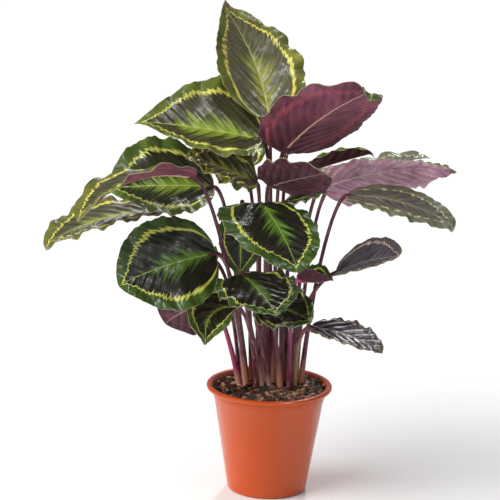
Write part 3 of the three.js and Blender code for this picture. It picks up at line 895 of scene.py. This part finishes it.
LEAVES = [
    Leaf("crown", (0, 26), (-10, 10, 507), (104, 142), (52, 42), (0, 0), 190, 134, 0.4, 0.72, 0.05,
         (10, 12), (12, 8), (1.5, 5), 0.4, Tone.OLIVE, feather_reach=0.56, feather_end=0.54, frill=0.4,
         tip_turn=60, dryness=0.12),
    Leaf("left_high", (-11.5, 26), (-20, 10, 481), (190, 190), (13, 4), (-40, -40), 171, 138, 0.34, 0.85,
         -0.05, (22, 24), (4, 4), (4, 4), 1.1, Tone.FRESH, feather_reach=0.5, feather_end=0.7,
         dryness=0.03),
    Leaf("left_mid", (-34.5, 26), (-81, -5, 418), (196, 204), (6, -2), (-42, -42), 145, 138, 0.5, 0.5, 0.05,
         (22, 22), (4, 4), (3.5, 3.5), 2.3, Tone.MEADOW, feather_reach=0.46),
    Leaf("left_folded", (-28, -1), (-103, -92, 449), (200, 204), (16, -48), (0, -26), 176, 92, 0.5, 0.45,
         0.03, (34, -6), (8, 0), (4, 4), 0.2, Tone.WORN, ripples=4, sheath=4.1, feather_reach=0.34),
    Leaf("left_drooping", (-34.5, 6), (-143, -41, 392.5), (198, 204), (4, -30), (-12, -10), 174, 94, 0.5,
         0.45, -0.04, (12, 2), (6, 2), (4, 4), 1.7, Tone.WORN, skin=Skin.MAGENTA, feather_reach=0.3,
         frill=0.5, tip_turn=-60, dryness=0.04),
    Leaf("left_round", (-28.5, 16), (-76, -43, 337), (202, 214), (-6, -18), (-56, -52), 142, 134, 0.48,
         0.44, 0.05, (10, 10), (6, 8), (2.4, 2), 0.9, Tone.DEEP, sheath=4.5, feather_reach=0.42,
         feather_end=0.68),
    Leaf("left_turned", (-40, 16), (-70, 8, 263), (162, 154), (-20, -40), (64, 66), 92, 104, 0.46, 0.34,
         -0.04, (6, 6), (6, 6), (3, 3), 0.5, Tone.DEEP, under=Under.SHADED, ripples=4),
    Leaf("front_small", (-17, -4), (-48, -58, 269), (190, 290), (6, -66), (-46, -30), 84, 68, 0.42, 0.6,
         -0.2, (10, 10), (6, 8), (3, 3), 2.0, Tone.MEADOW, ripples=4, sheath=4.1, feather_reach=0.22,
         ring_share=0.66, frill=0.1),
    Leaf("front_centre", (17.5, -4), (-18, -58, 410), (-64, -68), (-14, -38), (2, 2), 138, 133, 0.36, 0.42,
         -0.18, (-3, 8), (0, 0), (3.5, 3.5), 1.3, Tone.DEEP, feather_reach=0.34, feather_end=0.68,
         ring_width=0.75, tip_turn=-55),
    Leaf("front_shaded", (-23, 26), (-43, -11, 396), (-90, -88), (-60, -96), (0, 0), 96, 60, 0.42, 0.55, 0,
         (-2, -4), (2, 2), (2.5, 2.5), 0.7, Tone.DEEP, ripples=4, sheath=4.1, bend=36, feather_reach=0.2,
         ring_width=0.7),
    Leaf("front_waved", (-5.5, -4), (-40, -60, 315), (-60, -60), (-10, -26), (10, 10), 100, 112, 0.4, 0.5,
         0, (-6, 4), (2, 4), (5, 5), 2.6, Tone.DEEP, skin=Skin.PALE, sheath=4.1, feather_reach=0.2,
         ring_share=0.8, ring_width=0.65, frill=0.6, pleat=0.6),
    Leaf("front_low", (6, -4), (-16, -46, 272), (-36, -30), (4, -18), (24, 24), 84, 82, 0.46, 0.5, -0.12,
         (8, 4), (8, 8), (4, 4), 0.1, Tone.DEEP, skin=Skin.PALE, ripples=4, sheath=4.1, feather_reach=0.14,
         ring_share=0.84, ring_width=0.6, frill=0.5),
    Leaf("right_boat", (26.5, -1.5), (34, -26, 300), (-32, -26), (-4, 22), (0, 0), 54, 55, 0.46, 0.55, 0,
         (40, 40), (24, 24), (1.5, 1.5), 1.9, Tone.DEEP, under=Under.SHADED, skin=Skin.PINK, ripples=4,
         sheath=3.9, bend=10),
    Leaf("right_grey", (23, 7.5), (83, -34, 313), (-30, -24), (30, 12), (22, 20), 104, 78, 0.5, 0.46, 0.05,
         (14, 10), (6, 8), (0.8, 0.8), 0.3, Tone.DUSKY, sheath=4.1, bend=60, feather_reach=0.2,
         ring_share=0.8, frill=0.2, tip_turn=50, dryness=0.06),
    Leaf("right_scalloped", (40.5, 16), (95, -42, 420), (-14, -14), (6, -30), (8, 10), 154, 86, 0.46, 0.42,
         -0.05, (4, 0), (4, 0), (0.8, 2.6), 1.2, Tone.SILVERY, ripples=5, feather_reach=0.22,
         ring_share=0.66, ring_width=0.8, frill=0.5, tip_turn=-70, dryness=0.03),
    Leaf("right_turned", (29, 17), (61, -2, 420), (-18, -14), (26, 0), (-60, -32), 190, 94, 0.4, 0.5, 0.05,
         (-8, -14), (0, 0), (4, 2), 0.8, Tone.MEADOW, under=Under.ROSE, ripples=5, frill=0.6, dryness=0.12,
         pleat=1.2),
    Leaf("right_hidden", (34.5, 26), (72, 42, 407), (8, 10), (28, 10), (0, 0), 146, 84, 0.46, 0.55, -0.04,
         (10, 10), (6, 6), (3, 3), 2.2, Tone.SILVERY, feather_reach=0.2),
    Leaf("right_rolled", (23, 26), (35, 42, 429), (-4, -8), (22, 16), (0, -10), 104, 38, 0.46, 0.55, 0,
         (50, 48), (20, 20), (1.5, 1.5), 0, Tone.MEADOW, under=Under.SHADED, ripples=4, sheath=3.9,
         tip_turn=-80),
    Leaf("top_turned", (6, 16), (10, -20, 471), (-46, -32), (46, 24), (-30, -30), 184, 138, 0.4, 0.42, 0.08,
         (10, 4), (8, 4), (1.5, 5), 1.5, Tone.MEADOW, ripples=4, sheath=4.5, frill=0.1, tip_turn=-140,
         pleat=0.55),
    Leaf("centre_turned", (-5.5, 16), (-8, -26, 426), (-48, -40), (22, 16), (-42, -42), 112, 92, 0.46, 0.5,
         -0.05, (6, -4), (6, 0), (4, 4), 0.6, Tone.DEEP, under=Under.SHADED, bend=10, pleat=0.6),
    Leaf("centre_shaded", (17.5, 16), (14, -14, 402), (-6, -2), (16, 18), (14, 14), 58, 36, 0.46, 0.55,
         0.04, (8, 8), (6, 6), (3, 3), 2.9, Tone.DEEP, ripples=4, sheath=3.9, bend=10, feather_reach=0.2),
    Leaf("centre_waved", (-17, 16), (-24, -6, 425), (192, 196), (28, 16), (-30, -26), 104, 98, 0.46, 0.55,
         0.05, (12, 12), (8, 8), (6, 6), 1, Tone.OLIVE, sheath=4.1, bend=8, feather_reach=0.5,
         ring_share=0.62, frill=0.3, pleat=1.0),
    Leaf("right_low", (34.5, 6), (54, -15, 232), (-20, -18), (2, -26), (8, 10), 105, 68, 0.46, 0.44, -0.05,
         (6, 6), (6, 6), (2.2, 1.5), 0.4, Tone.DUSKY, skin=Skin.TAN, feather_reach=0.18, ring_share=0.85,
         frill=0.6, dryness=0.05, pleat=0.7),
    Leaf("back_crown", (6, 36), (14, 74, 448), (84, 88), (50, 20), (6, 6), 138, 100, 0.42, 0.6, -0.05,
         (14, 14), (6, 6), (3.5, 3.5), 2.4, Tone.FRESH),
    Leaf("back_high", (-5.5, 36), (-40, 66, 428), (116, 124), (18, -14), (0, 0), 142, 112, 0.42, 0.6, 0.05,
         (12, 12), (6, 6), (4, 4), 1.8, Tone.MEADOW),
    Leaf("back_mid", (-17, 36), (-22, 82, 318), (96, 102), (10, -30), (0, 0), 132, 106, 0.42, 0.6, -0.05,
         (10, 10), (6, 6), (4, 4), 0.3, Tone.DEEP, skin=Skin.PALE),
    Leaf("back_left", (-28.5, 36), (-80, 60, 300), (148, 154), (4, -26), (4, 4), 126, 98, 0.42, 0.6, 0.05,
         (10, 10), (6, 6), (4, 4), 1.4, Tone.DEEP),
    Leaf("back_right", (17.5, 36), (30, 62, 404), (64, 58), (10, -14), (0, 0), 132, 96, 0.42, 0.6, -0.05,
         (12, 12), (6, 6), (4, 4), 2.7, Tone.MEADOW),
]


@dataclass
class Blade:
    """A leaf's blade, in millimetres: a pleated, waved sheet with a midrib that stands out below."""

    leaf: Leaf
    index: int
    columns: int = 40
    column_crowding: float = 0.6
    row_length: float = 1.5
    row_crowding: float = 0.1
    thickness: float = 0.8
    broad_pleat: float = 2.2
    buckle: float = 0.7
    buckle_size: float = 34
    buckle_from: float = 12
    pleat_from: float = 6
    margin_fade: float = 8
    tip_fade: float = 12
    groove: float = 0.5
    groove_width: float = 1.3
    rib_height: float = 1.6
    rib_width: float = 1.5
    dry_from: float = 0.8
    dry_over: float = 0.2
    blade_veins: int = 45
    half_veins: float = 22
    smooth: float = 50

    def build(self) -> None:
        """Models and dresses the blade."""
        leaf = self.leaf
        piece = primitive(bpy.ops.mesh.primitive_grid_add, f"{leaf.name}_blade", size=2, calc_uvs=False,
                          x_subdivisions=round(leaf.length / self.row_length), y_subdivisions=self.columns)
        flat = vertices_of(piece)
        # Rows crowd at both ends, and columns at the midrib.
        even = (flat[:, 0] + 1) / 2
        u = even - self.row_crowding * np.sin(TURN * even)
        crowding, across = self.column_crowding, flat[:, 1]
        share = np.sign(across) * ((1 - crowding) * np.abs(across) + crowding * across**2)
        points, normal, lateral = leaf.surface(u, share)
        vein = leaf.veins(u, lateral)
        relief = self.relief(u, share, points, vein, lateral)
        place_vertices(piece, (points + normal * relief[:, None]) * MM)

        # Each half of each blade draws its own random values, so its veins have numbers of their own.
        numbered = vein + (self.blade_veins * self.index + np.where(share > 0, self.half_veins, 0.0))
        dried = leaf.dryness * ((u - self.dry_from) / self.dry_over).clip(0) ** 2
        add_map(piece, "leaf", u + dried, (share + 1) / 2)
        add_map(piece, "veins", numbered / MAP_SCALE, leaf.feather(vein))
        add_map(piece, "ring", (np.abs(share) - leaf.ring(u)) / leaf.ring_width, lateral / MAP_SCALE)
        for finish in (leaf.tone.value, LeafMargin("blade_margin"), leaf.under.value):
            piece.data.materials.append(material_of(finish))
        shell = piece.modifiers.new("thickness", "SOLIDIFY")
        shell.thickness = self.thickness * MM
        shell.offset = 0
        shell.material_offset_rim = 1
        shell.material_offset = 2
        apply_modifier(piece, shell)

        solid = vertices_of(piece)
        rib = self.rib_height * (1 - u) * np.exp(-((lateral / self.rib_width) ** 2))
        solid[len(points) : 2 * len(points)] -= normal * (rib * MM)[:, None]
        place_vertices(piece, solid)
        dress(piece, f"blade_{leaf.name}", "blade", smooth=self.smooth)

    def relief(self, u: Array, share: Array, points: Array, vein: Array, lateral: Array) -> Array:
        """How far the blade stands out of its smooth form: pleats, buckles and the groove over the midrib.

        Args:
            u: From 0 at the neck to 1 at the tip.
            share: From -1 at the right margin to 1 at the left one.
            points: The smooth form's points, in millimetres.
            vein: The lateral vein's number at each point.
            lateral: The distance from the midrib, in millimetres.

        Returns:
            The heights in millimetres.
        """
        ends = np.minimum(lateral / self.pleat_from, (1 - np.abs(share)) * self.margin_fade)
        ends = np.minimum(1, ends) * np.minimum(1, (1 - u) * self.tip_fade)
        broad = np.cos(np.pi * vein + TURN * np.sin(self.index))
        relief = -self.leaf.pleat * (np.cos(TURN * vein) + self.broad_pleat * broad) * ends
        buckles = noise(points, self.buckle_size, self.index)
        relief += self.buckle * buckles * np.minimum(1, lateral / self.buckle_from)
        relief -= self.groove * np.exp(-((lateral / self.groove_width) ** 2)) * (1 - u)
        return relief


@dataclass
class Petiole:
    """A leaf's stalk, in millimetres: sheathed at its foot, and thicker again just under the blade."""

    leaf: Leaf
    index: int
    foot: float = 110
    seam: float = 0.3
    bow: float = 0.5
    handle: float = 0.45
    samples: int = 800
    sides: int = 18
    cuts: int = 54
    crowding: float = 1.5
    overlap: float = 12
    overlap_drop: float = 0.1
    overlap_shrink: float = 0.5
    reach: float = 0.5
    sheath_share: float = 0.45
    sheath_curve: float = 1.4
    swell: float = 0.7
    swell_length: float = 26
    taper: float = 0.8
    groove: float = 0.13
    groove_at: float = 1.2
    groove_width: float = 0.35
    groove_least: float = 0.4
    behind: tuple[float, float, float] = (0.0, 1.0, 0.05)
    smooth: float = 40

    def path(self) -> tuple[Array, Array]:
        """The centre line.

        Returns:
            Its points at rising steps, and each point's distance from the foot.
        """
        leaf = self.leaf
        forward = leaf.axes(np.zeros(1))[0][0]
        root = np.array([*leaf.root, self.foot])
        end = np.array(leaf.neck) - forward * self.seam
        arriving = end - forward * leaf.bend
        way = arriving - root
        rising = root + self.handle * (way + (np.array([0, 0, np.linalg.norm(way)]) - way) * self.bow)
        t = np.linspace(0, 1, self.samples)[:, None]
        back = 1 - t
        curve = back**3 * root + 3 * back**2 * t * rising + 3 * back * t**2 * arriving + t**3 * end
        steps = np.concatenate([[0], np.cumsum(np.linalg.norm(np.diff(curve, axis=0), axis=1))])
        return curve, steps

    def radius(self, u: Array, length: float, under: Array, angle: Array) -> Array:
        """The distance of the skin from the centre line.

        Args:
            u: From 0 at the foot to 1 at the neck.
            length: The stalk's length.
            under: How far each point lies past the neck, under the blade.
            angle: The direction from the centre line, in radians.

        Returns:
            The radii in millimetres.
        """
        sheath = (1 - u / self.sheath_share).clip(0) ** self.sheath_curve
        sheath *= self.leaf.sheath - PETIOLE_TOP_RADIUS
        swell = self.swell * (1 - (1 - u) * length / self.swell_length).clip(0)
        radius = PETIOLE_TOP_RADIUS + sheath + self.taper * (1 - u) + swell
        radius *= 1 - self.overlap_shrink * (under / self.overlap)
        groove = np.exp(-(((angle - self.groove_at) / self.groove_width) ** 2))
        return radius * (1 - self.groove * groove * (self.groove_least + (1 - u)))

    def build(self) -> None:
        """Models and dresses the petiole."""
        leaf = self.leaf
        piece = long_cylinder(f"{leaf.name}_petiole", self.sides, 1, 2, self.cuts)
        curve, steps = self.path()
        length = float(steps[-1])
        flat = vertices_of(piece)
        even = ((flat[:, 2] + 1) / 2).clip(0, 1)
        distance = (1 - (1 - even) ** self.crowding) * (length + self.overlap)
        under = (distance - length).clip(0)
        before, centre, after = (
            np.column_stack([np.interp(distance + shift, steps, curve[:, k]) for k in range(3)])
            for shift in (-self.reach, 0.0, self.reach)
        )
        forward, _, up = (a[0] for a in leaf.axes(np.zeros(1)))
        centre += forward * under[:, None] - up * (self.overlap_drop * under)[:, None]
        arrived = (distance > length - self.reach - 0.1)[:, None]
        tangent = np.where(arrived, forward, after - before)
        tangent /= np.linalg.norm(tangent, axis=1)[:, None]
        side = np.cross(tangent, np.array(self.behind))
        side /= np.linalg.norm(side, axis=1)[:, None]
        other = np.cross(side, tangent)
        u = (distance / length).clip(0, 1)
        angle = np.arctan2(flat[:, 1], flat[:, 0])
        radius = self.radius(u, length, under, angle)
        skin = centre + side * (radius * np.cos(angle))[:, None] + other * (radius * np.sin(angle))[:, None]
        place_vertices(piece, skin * MM)
        add_map(piece, "stalk", u, (angle + math.pi) / TURN + 3 * self.index)
        face_outwards(piece)
        dress(piece, f"petiole_{leaf.name}", "petiole", leaf.skin.value, smooth=self.smooth)


# ---- Pot and potting mix ----
@dataclass
class NurseryPot:
    """The tapered nursery pot, in millimetres, as in the solids."""

    height: float = 147
    rim_radius: float = 85
    rim_height: float = 6
    rim_flare: float = 4
    rim_inset: float = 9
    foot_radius: float = 54
    foot_corner: float = 5
    shoulder_drop: float = 12
    shoulder_step: float = 1.2
    wall: float = 2
    floor_rise: float = 3
    foot_ring: float = 9
    pad_radius: float = 20
    drain_count: int = 8
    drain_radius: float = 5
    drain_circle: float = 31
    steps: int = 144
    smooth: float = 35

    def profile(self) -> list[tuple[float, float]]:
        """Half of the pot's cross-section: under the foot, up the wall, round the rim and down inside.

        Returns:
            The points as radius and height.
        """
        rim_bottom = self.height - self.rim_height
        flare = rim_bottom - self.rim_flare
        shoulder = rim_bottom - self.shoulder_drop
        top = self.rim_radius - self.rim_inset
        neck = self.foot_radius + (top - self.foot_radius) * shoulder / rim_bottom
        foot = self.foot_radius - self.foot_corner
        inner_foot = self.foot_radius - self.wall
        lip = self.rim_height / 2
        floor = self.floor_rise + self.wall
        return [
            (0, 0), (self.pad_radius, 0), (self.pad_radius + self.floor_rise, self.floor_rise),
            (foot - self.foot_ring - self.floor_rise, self.floor_rise), (foot - self.foot_ring, 0),
            *self.arc(foot, self.foot_corner, self.foot_corner, -90, 0, 8),
            (neck - 0.02, shoulder - 0.3), (neck + 0.5, shoulder + 0.3),
            (neck + self.shoulder_step, shoulder + self.shoulder_step),
            (top - 0.3, flare - 1.5), (top, flare), (top + 1, flare + 0.7),
            *self.arc(self.rim_radius - lip, rim_bottom + lip, lip, -60, 90, 16),
            (top + self.wall + 1, self.height - 0.1), (top + self.wall, self.height - 0.6),
            (top - 1, rim_bottom + 1), (top - 2, rim_bottom - 2),
            (inner_foot - 1, floor + self.foot_corner), (inner_foot - self.foot_corner, floor),
            (self.pad_radius + self.floor_rise - 1, floor), (self.pad_radius - 1, self.wall), (0, self.wall),
        ]

    @staticmethod
    def arc(radius: float, height: float, size: float, start: float, stop: float, steps: int) -> list:
        """Points on a round corner about (radius, height), from one angle to another in degrees."""
        angles = [math.radians(start + (stop - start) * i / steps) for i in range(steps + 1)]
        return [(radius + size * math.cos(a), height + size * math.sin(a)) for a in angles]

    def build(self) -> None:
        """Spins the profile, cuts the drainage holes and dresses the pot."""
        profile = self.profile()
        piece = primitive(bpy.ops.mesh.primitive_circle_add, "nursery_pot", vertices=len(profile), radius=1,
                          fill_type="NOTHING")
        place_vertices(piece, np.array([(r, 0, z) for r, z in profile]) * MM)
        bpy.ops.object.mode_set(mode="EDIT")
        form = bmesh.from_edit_mesh(piece.data)
        ends = {0, len(profile) - 1}
        closing = [e for e in form.edges if {v.index for v in e.verts} == ends]
        bmesh.ops.delete(form, geom=closing, context="EDGES")
        bmesh.update_edit_mesh(piece.data)
        bpy.ops.mesh.select_all(action="SELECT")
        bpy.ops.mesh.spin(steps=self.steps, angle=TURN, center=(0, 0, 0), axis=(0, 0, 1))
        bpy.ops.object.mode_set(mode="OBJECT")
        face_outwards(piece, merge=0.01 * MM)
        self.cut_drains(piece)
        dress(piece, "pot", "pot_plastic", PotPlastic(), smooth=self.smooth)

    def cut_drains(self, piece: Piece) -> None:
        """Cuts the ring of drainage holes through the floor.

        Args:
            piece: The pot's mesh object.
        """
        for i in range(self.drain_count):
            angle = TURN * i / self.drain_count
            across, back = self.drain_circle * math.cos(angle) * MM, self.drain_circle * math.sin(angle) * MM
            cutter = primitive(bpy.ops.mesh.primitive_cylinder_add, "drain", vertices=32, depth=12 * MM,
                               radius=self.drain_radius * MM, location=(across, back, 4 * MM))
            cut = piece.modifiers.new("drain", "BOOLEAN")
            cut.operation = "DIFFERENCE"
            cut.solver = "EXACT"
            cut.object = cutter
            apply_modifier(piece, cut)
            bpy.data.objects.remove(cutter)


@dataclass
class MixFill:
    """The potting mix, in millimetres: a closed body with a crumbly surface, and loose crumbs in it."""

    top: float = 139
    mound: float = 3
    lump: float = 2.2
    small_lump: float = 3.5
    large_lump: float = 5
    crumb: float = 1.1
    crumb_size: float = 7
    radius: float = 73.4
    foot_radius: float = 50.4
    foot_corner: float = 5
    foot: float = 5.3
    wall_gap: float = 0.6
    chip_bevel: float = 0.16
    fibre_bend: float = 2.2
    seed: int = 7
    sides: int = 168
    rings: int = 84
    wall_rows: int = 6
    smooth: float = 60

    def height(self, x: Array, y: Array) -> Array:
        """The height of the surface.

        Args:
            x: Places to the right of the pot's axis.
            y: Places behind the pot's axis.

        Returns:
            The heights in millimetres.
        """
        share = np.hypot(x, y) / (self.radius + self.wall_gap)
        small = np.sin(x / self.small_lump + 1) * np.cos(y / self.small_lump)
        large = np.sin((x - y) / self.large_lump)
        return self.top + self.mound * (1 - share * share) + self.lump * (small + large) / 2

    def build(self) -> None:
        """Models and dresses the body of the mix from a grid wrapped round the axis, foot first."""
        piece = primitive(bpy.ops.mesh.primitive_grid_add, "potting_mix_body", x_subdivisions=self.sides,
                          y_subdivisions=self.rings, size=2, calc_uvs=False)
        flat = vertices_of(piece)
        angle = (flat[:, 0] + 1) * math.pi
        row = np.rint((flat[:, 1] + 1) / 2 * self.rings).astype(int)
        on_top = row >= self.wall_rows
        share = np.where(on_top, 1 - (row - self.wall_rows) / (self.rings - self.wall_rows), 1.0)
        climb = ((row - 2) / (self.wall_rows - 2)).clip(0, 1)
        wall = self.foot_radius + (self.radius - self.foot_radius) * climb
        radius = np.where(on_top, self.radius * share, wall)
        radius = np.where(row == 0, 0, np.where(row == 1, self.foot_radius - self.foot_corner, radius))
        x, y = radius * np.cos(angle), radius * np.sin(angle)
        crumbs = self.crumb * noise(np.column_stack([x, y]), self.crumb_size, self.seed, 4) * (share < 1)
        corner = self.foot + self.foot_corner
        side = corner + (self.top - self.foot - self.foot_corner) * climb
        z = np.where(on_top, self.height(x, y) + crumbs, side)
        z = np.where(row <= 1, self.foot, z)
        place_vertices(piece, np.column_stack([x, y, z]) * MM)
        face_outwards(piece, merge=0.001 * MM)
        peat = Crumb("peat", "#1e1410", "#6e5444", 260.0)
        dress(piece, "potting_mix", "potting_mix", peat, smooth=self.smooth)

    def chip(self) -> Piece:
        """One bark chip of about unit size: a bevelled block, which scatter makes ragged.

        Returns:
            The chip.
        """
        piece = primitive(bpy.ops.mesh.primitive_cube_add, "chip", size=1)
        bpy.ops.object.mode_set(mode="EDIT")
        bpy.ops.mesh.select_all(action="SELECT")
        bpy.ops.mesh.bevel(offset=self.chip_bevel, segments=1)
        bpy.ops.object.mode_set(mode="OBJECT")
        return piece

    def grain(self) -> Piece:
        """One rounded grain of about unit size."""
        return primitive(bpy.ops.mesh.primitive_ico_sphere_add, "grain", subdivisions=1, radius=0.5)

    def fibre(self) -> Piece:
        """One thin fibre of unit length, bent in the middle.

        Returns:
            The fibre.
        """
        piece = long_cylinder("fibre", 5, 0.5, 1, 4)
        across, aside, along = vertices_of(piece).T
        bowed = aside + self.fibre_bend * np.cos(np.pi * along)
        place_vertices(piece, np.column_stack([along, bowed, across]))
        face_outwards(piece)
        return piece

    def scatter(self, pattern: Piece, name: str, count: int, sizes: tuple, finish: Crumb, seed: int) -> None:
        """Copies a shape over the surface into one piece.

        Args:
            pattern: The shape, of about unit size. It is removed afterwards.
            name: The piece's name.
            count: How many copies.
            sizes: The lowest and highest length, width and thickness, in millimetres.
            finish: The material.
            seed: Picks the places.
        """
        edge, tilt, ragged = 1, 0.32, 0.22
        banked, bank_curve, lift, lift_share = 2.5, 8, 0.2, 0.3
        random = np.random.default_rng(seed)
        shape = vertices_of(pattern)
        faces = [list(p.vertices) for p in pattern.data.polygons]
        points, polygons = [], []
        for i in range(count):
            size = np.array([random.uniform(*pair) for pair in sizes])
            distance = (self.radius - edge) * math.sqrt(random.uniform(0.0, 1.0))
            angle = random.uniform(0, TURN)
            x, y = distance * math.cos(angle), distance * math.sin(angle)
            turn = Matrix.Rotation(random.uniform(0, TURN), 3, "Z")
            turn = turn @ Matrix.Rotation(random.normal(0, tilt), 3, "X")
            turn = turn @ Matrix.Rotation(random.normal(0, tilt), 3, "Y")
            form = shape * (1 + random.uniform(-ragged, ragged, size=shape.shape)) * size
            low = float(self.height(np.array([x]), np.array([y]))[0])
            low += banked * (distance / self.radius) ** bank_curve + lift + lift_share * size[2]
            points.append(form @ np.array(turn).T + np.array([x, y, low]))
            polygons += [[v + i * len(shape) for v in face] for face in faces]
        bpy.data.objects.remove(pattern)
        mesh = bpy.data.meshes.new(name)
        mesh.from_pydata((np.vstack(points) * MM).tolist(), [], polygons)
        piece = bpy.data.objects.new(name, mesh)
        bpy.context.scene.collection.objects.link(piece)
        dress(piece, None, "potting_mix", finish)

    def dress_surface(self) -> None:
        """Lays the peat lumps, bark, fibres and grains in the surface, each kind with a seed of its own."""
        peat = Crumb("peat_lump", "#140e0c", "#5c4436", 300.0, 0.7)
        bark = Crumb("bark", "#553322", "#d8a078", 260.0, 0.6)
        pale = Crumb("pale_bark", "#9a6c4c", "#ecc8a0", 280.0, 0.7)
        mineral = Crumb("mineral_grain", "#b9b4a8", "#e9e6de", 500.0, 0.85)
        kinds = (
            (self.chip, "peat_lumps", 620, ((4, 9), (3, 7), (2.5, 5.5)), peat),
            (self.chip, "bark_chips", 230, ((5, 13), (3, 7), (2, 5)), bark),
            (self.chip, "pale_bark_chips", 150, ((4, 10), (2, 5), (1, 2.6)), pale),
            (self.fibre, "peat_fibres", 120, ((6, 16), (0.4, 0.7), (0.4, 0.7)), pale),
            (self.grain, "mineral_grains", 34, ((1.6, 3.2), (1.6, 3), (1.4, 2.6)), mineral),
        )
        for seed, (shape, name, count, sizes, finish) in enumerate(kinds, 11):
            self.scatter(shape(), name, count, sizes, finish, seed)


# ---- Studio ----
@dataclass
class Studio:
    """A plain pale floor, soft light and the photograph's viewpoint, in metres and degrees.

    The lens and the sensor are in millimetres.
    """

    camera_at: tuple[float, float, float] = (0.0, -3.2, 1.14369)
    yaw: float = -0.5516
    pitch: float = 14.2296
    roll: float = 1.5024
    lens: float = 178.28
    sensor: float = 36
    floor_size: float = 40
    surround: float = 0.3

    def build_camera(self) -> None:
        """Makes the camera at the photograph's viewpoint."""
        yaw, pitch, roll = (math.radians(a) for a in (self.yaw, self.pitch, self.roll))
        ahead = Vector((math.sin(yaw) * math.cos(pitch), math.cos(yaw) * math.cos(pitch), -math.sin(pitch)))
        right = ahead.cross(Vector((0, 0, 1))).normalized()
        up = right.cross(ahead)
        right, up = right * math.cos(roll) + up * math.sin(roll), up * math.cos(roll) - right * math.sin(roll)
        data = bpy.data.cameras.new("viewpoint")
        data.lens = self.lens
        data.sensor_width = self.sensor
        data.clip_end = 50
        camera = bpy.data.objects.new("viewpoint", data)
        turn = Matrix((right, up, -ahead)).transposed().to_4x4()
        camera.matrix_world = Matrix.Translation(self.camera_at) @ turn
        bpy.context.scene.collection.objects.link(camera)
        bpy.context.scene.camera = camera

    def build_floor(self) -> None:
        """Lays the pale floor just under the pot's foot."""
        floor = primitive(bpy.ops.mesh.primitive_plane_add, "studio_floor", size=self.floor_size,
                          location=(0, 0, -0.2 * MM))
        floor.data.materials.append(material_of(FloorPaper()))

    def sun(self, name: str, toward: tuple, width: float, strength: float, diffuse: bool,
            glossy: bool) -> None:
        """Adds a distant soft light.

        Args:
            name: The light's name.
            toward: The direction that it shines in.
            width: The angle that it fills, in degrees. Wider gives softer shadows.
            strength: In watts per square metre.
            diffuse: Whether it lights surfaces.
            glossy: Whether it is mirrored in glossy surfaces.
        """
        data = bpy.data.lights.new(name, "SUN")
        data.angle = math.radians(width)
        data.energy = strength
        light = bpy.data.objects.new(name, data)
        light.rotation_mode = "QUATERNION"
        light.rotation_quaternion = Vector(toward).to_track_quat("-Z", "Y")
        light.visible_diffuse = diffuse
        light.visible_glossy = glossy
        bpy.context.scene.collection.objects.link(light)

    def build_light(self) -> None:
        """Sets a dim white surround, a wide light from the left, and small ones that make leaves gleam."""
        world = bpy.data.worlds.new("pale_surround")
        world.use_nodes = True
        background = world.node_tree.nodes["Background"]
        background.inputs["Color"].default_value = (1, 1, 1, 1)
        background.inputs["Strength"].default_value = self.surround
        bpy.context.scene.world = world
        self.sun("key_left", (0.86, 0.38, -0.72), 60, 3.3, diffuse=True, glossy=False)
        self.sun("low_back", (-0.1, -0.75, -0.66), 7, 1.1, diffuse=True, glossy=True)
        self.sun("card_right", (-0.45, 0.43, -0.82), 5, 1.8, diffuse=False, glossy=True)
        bpy.context.scene.view_settings.view_transform = "Standard"


def main() -> None:
    """Builds the plant, the pot and the studio."""
    logging.basicConfig(level=logging.INFO, format="%(name)s: %(message)s")
    studio = Studio()
    studio.build_camera()
    NurseryPot().build()
    fill = MixFill()
    fill.build()
    fill.dress_surface()
    for index, leaf in enumerate(LEAVES):
        Blade(leaf, index).build()
        Petiole(leaf, index).build()
    studio.build_floor()
    studio.build_light()


if __name__ == "__main__":
    main()
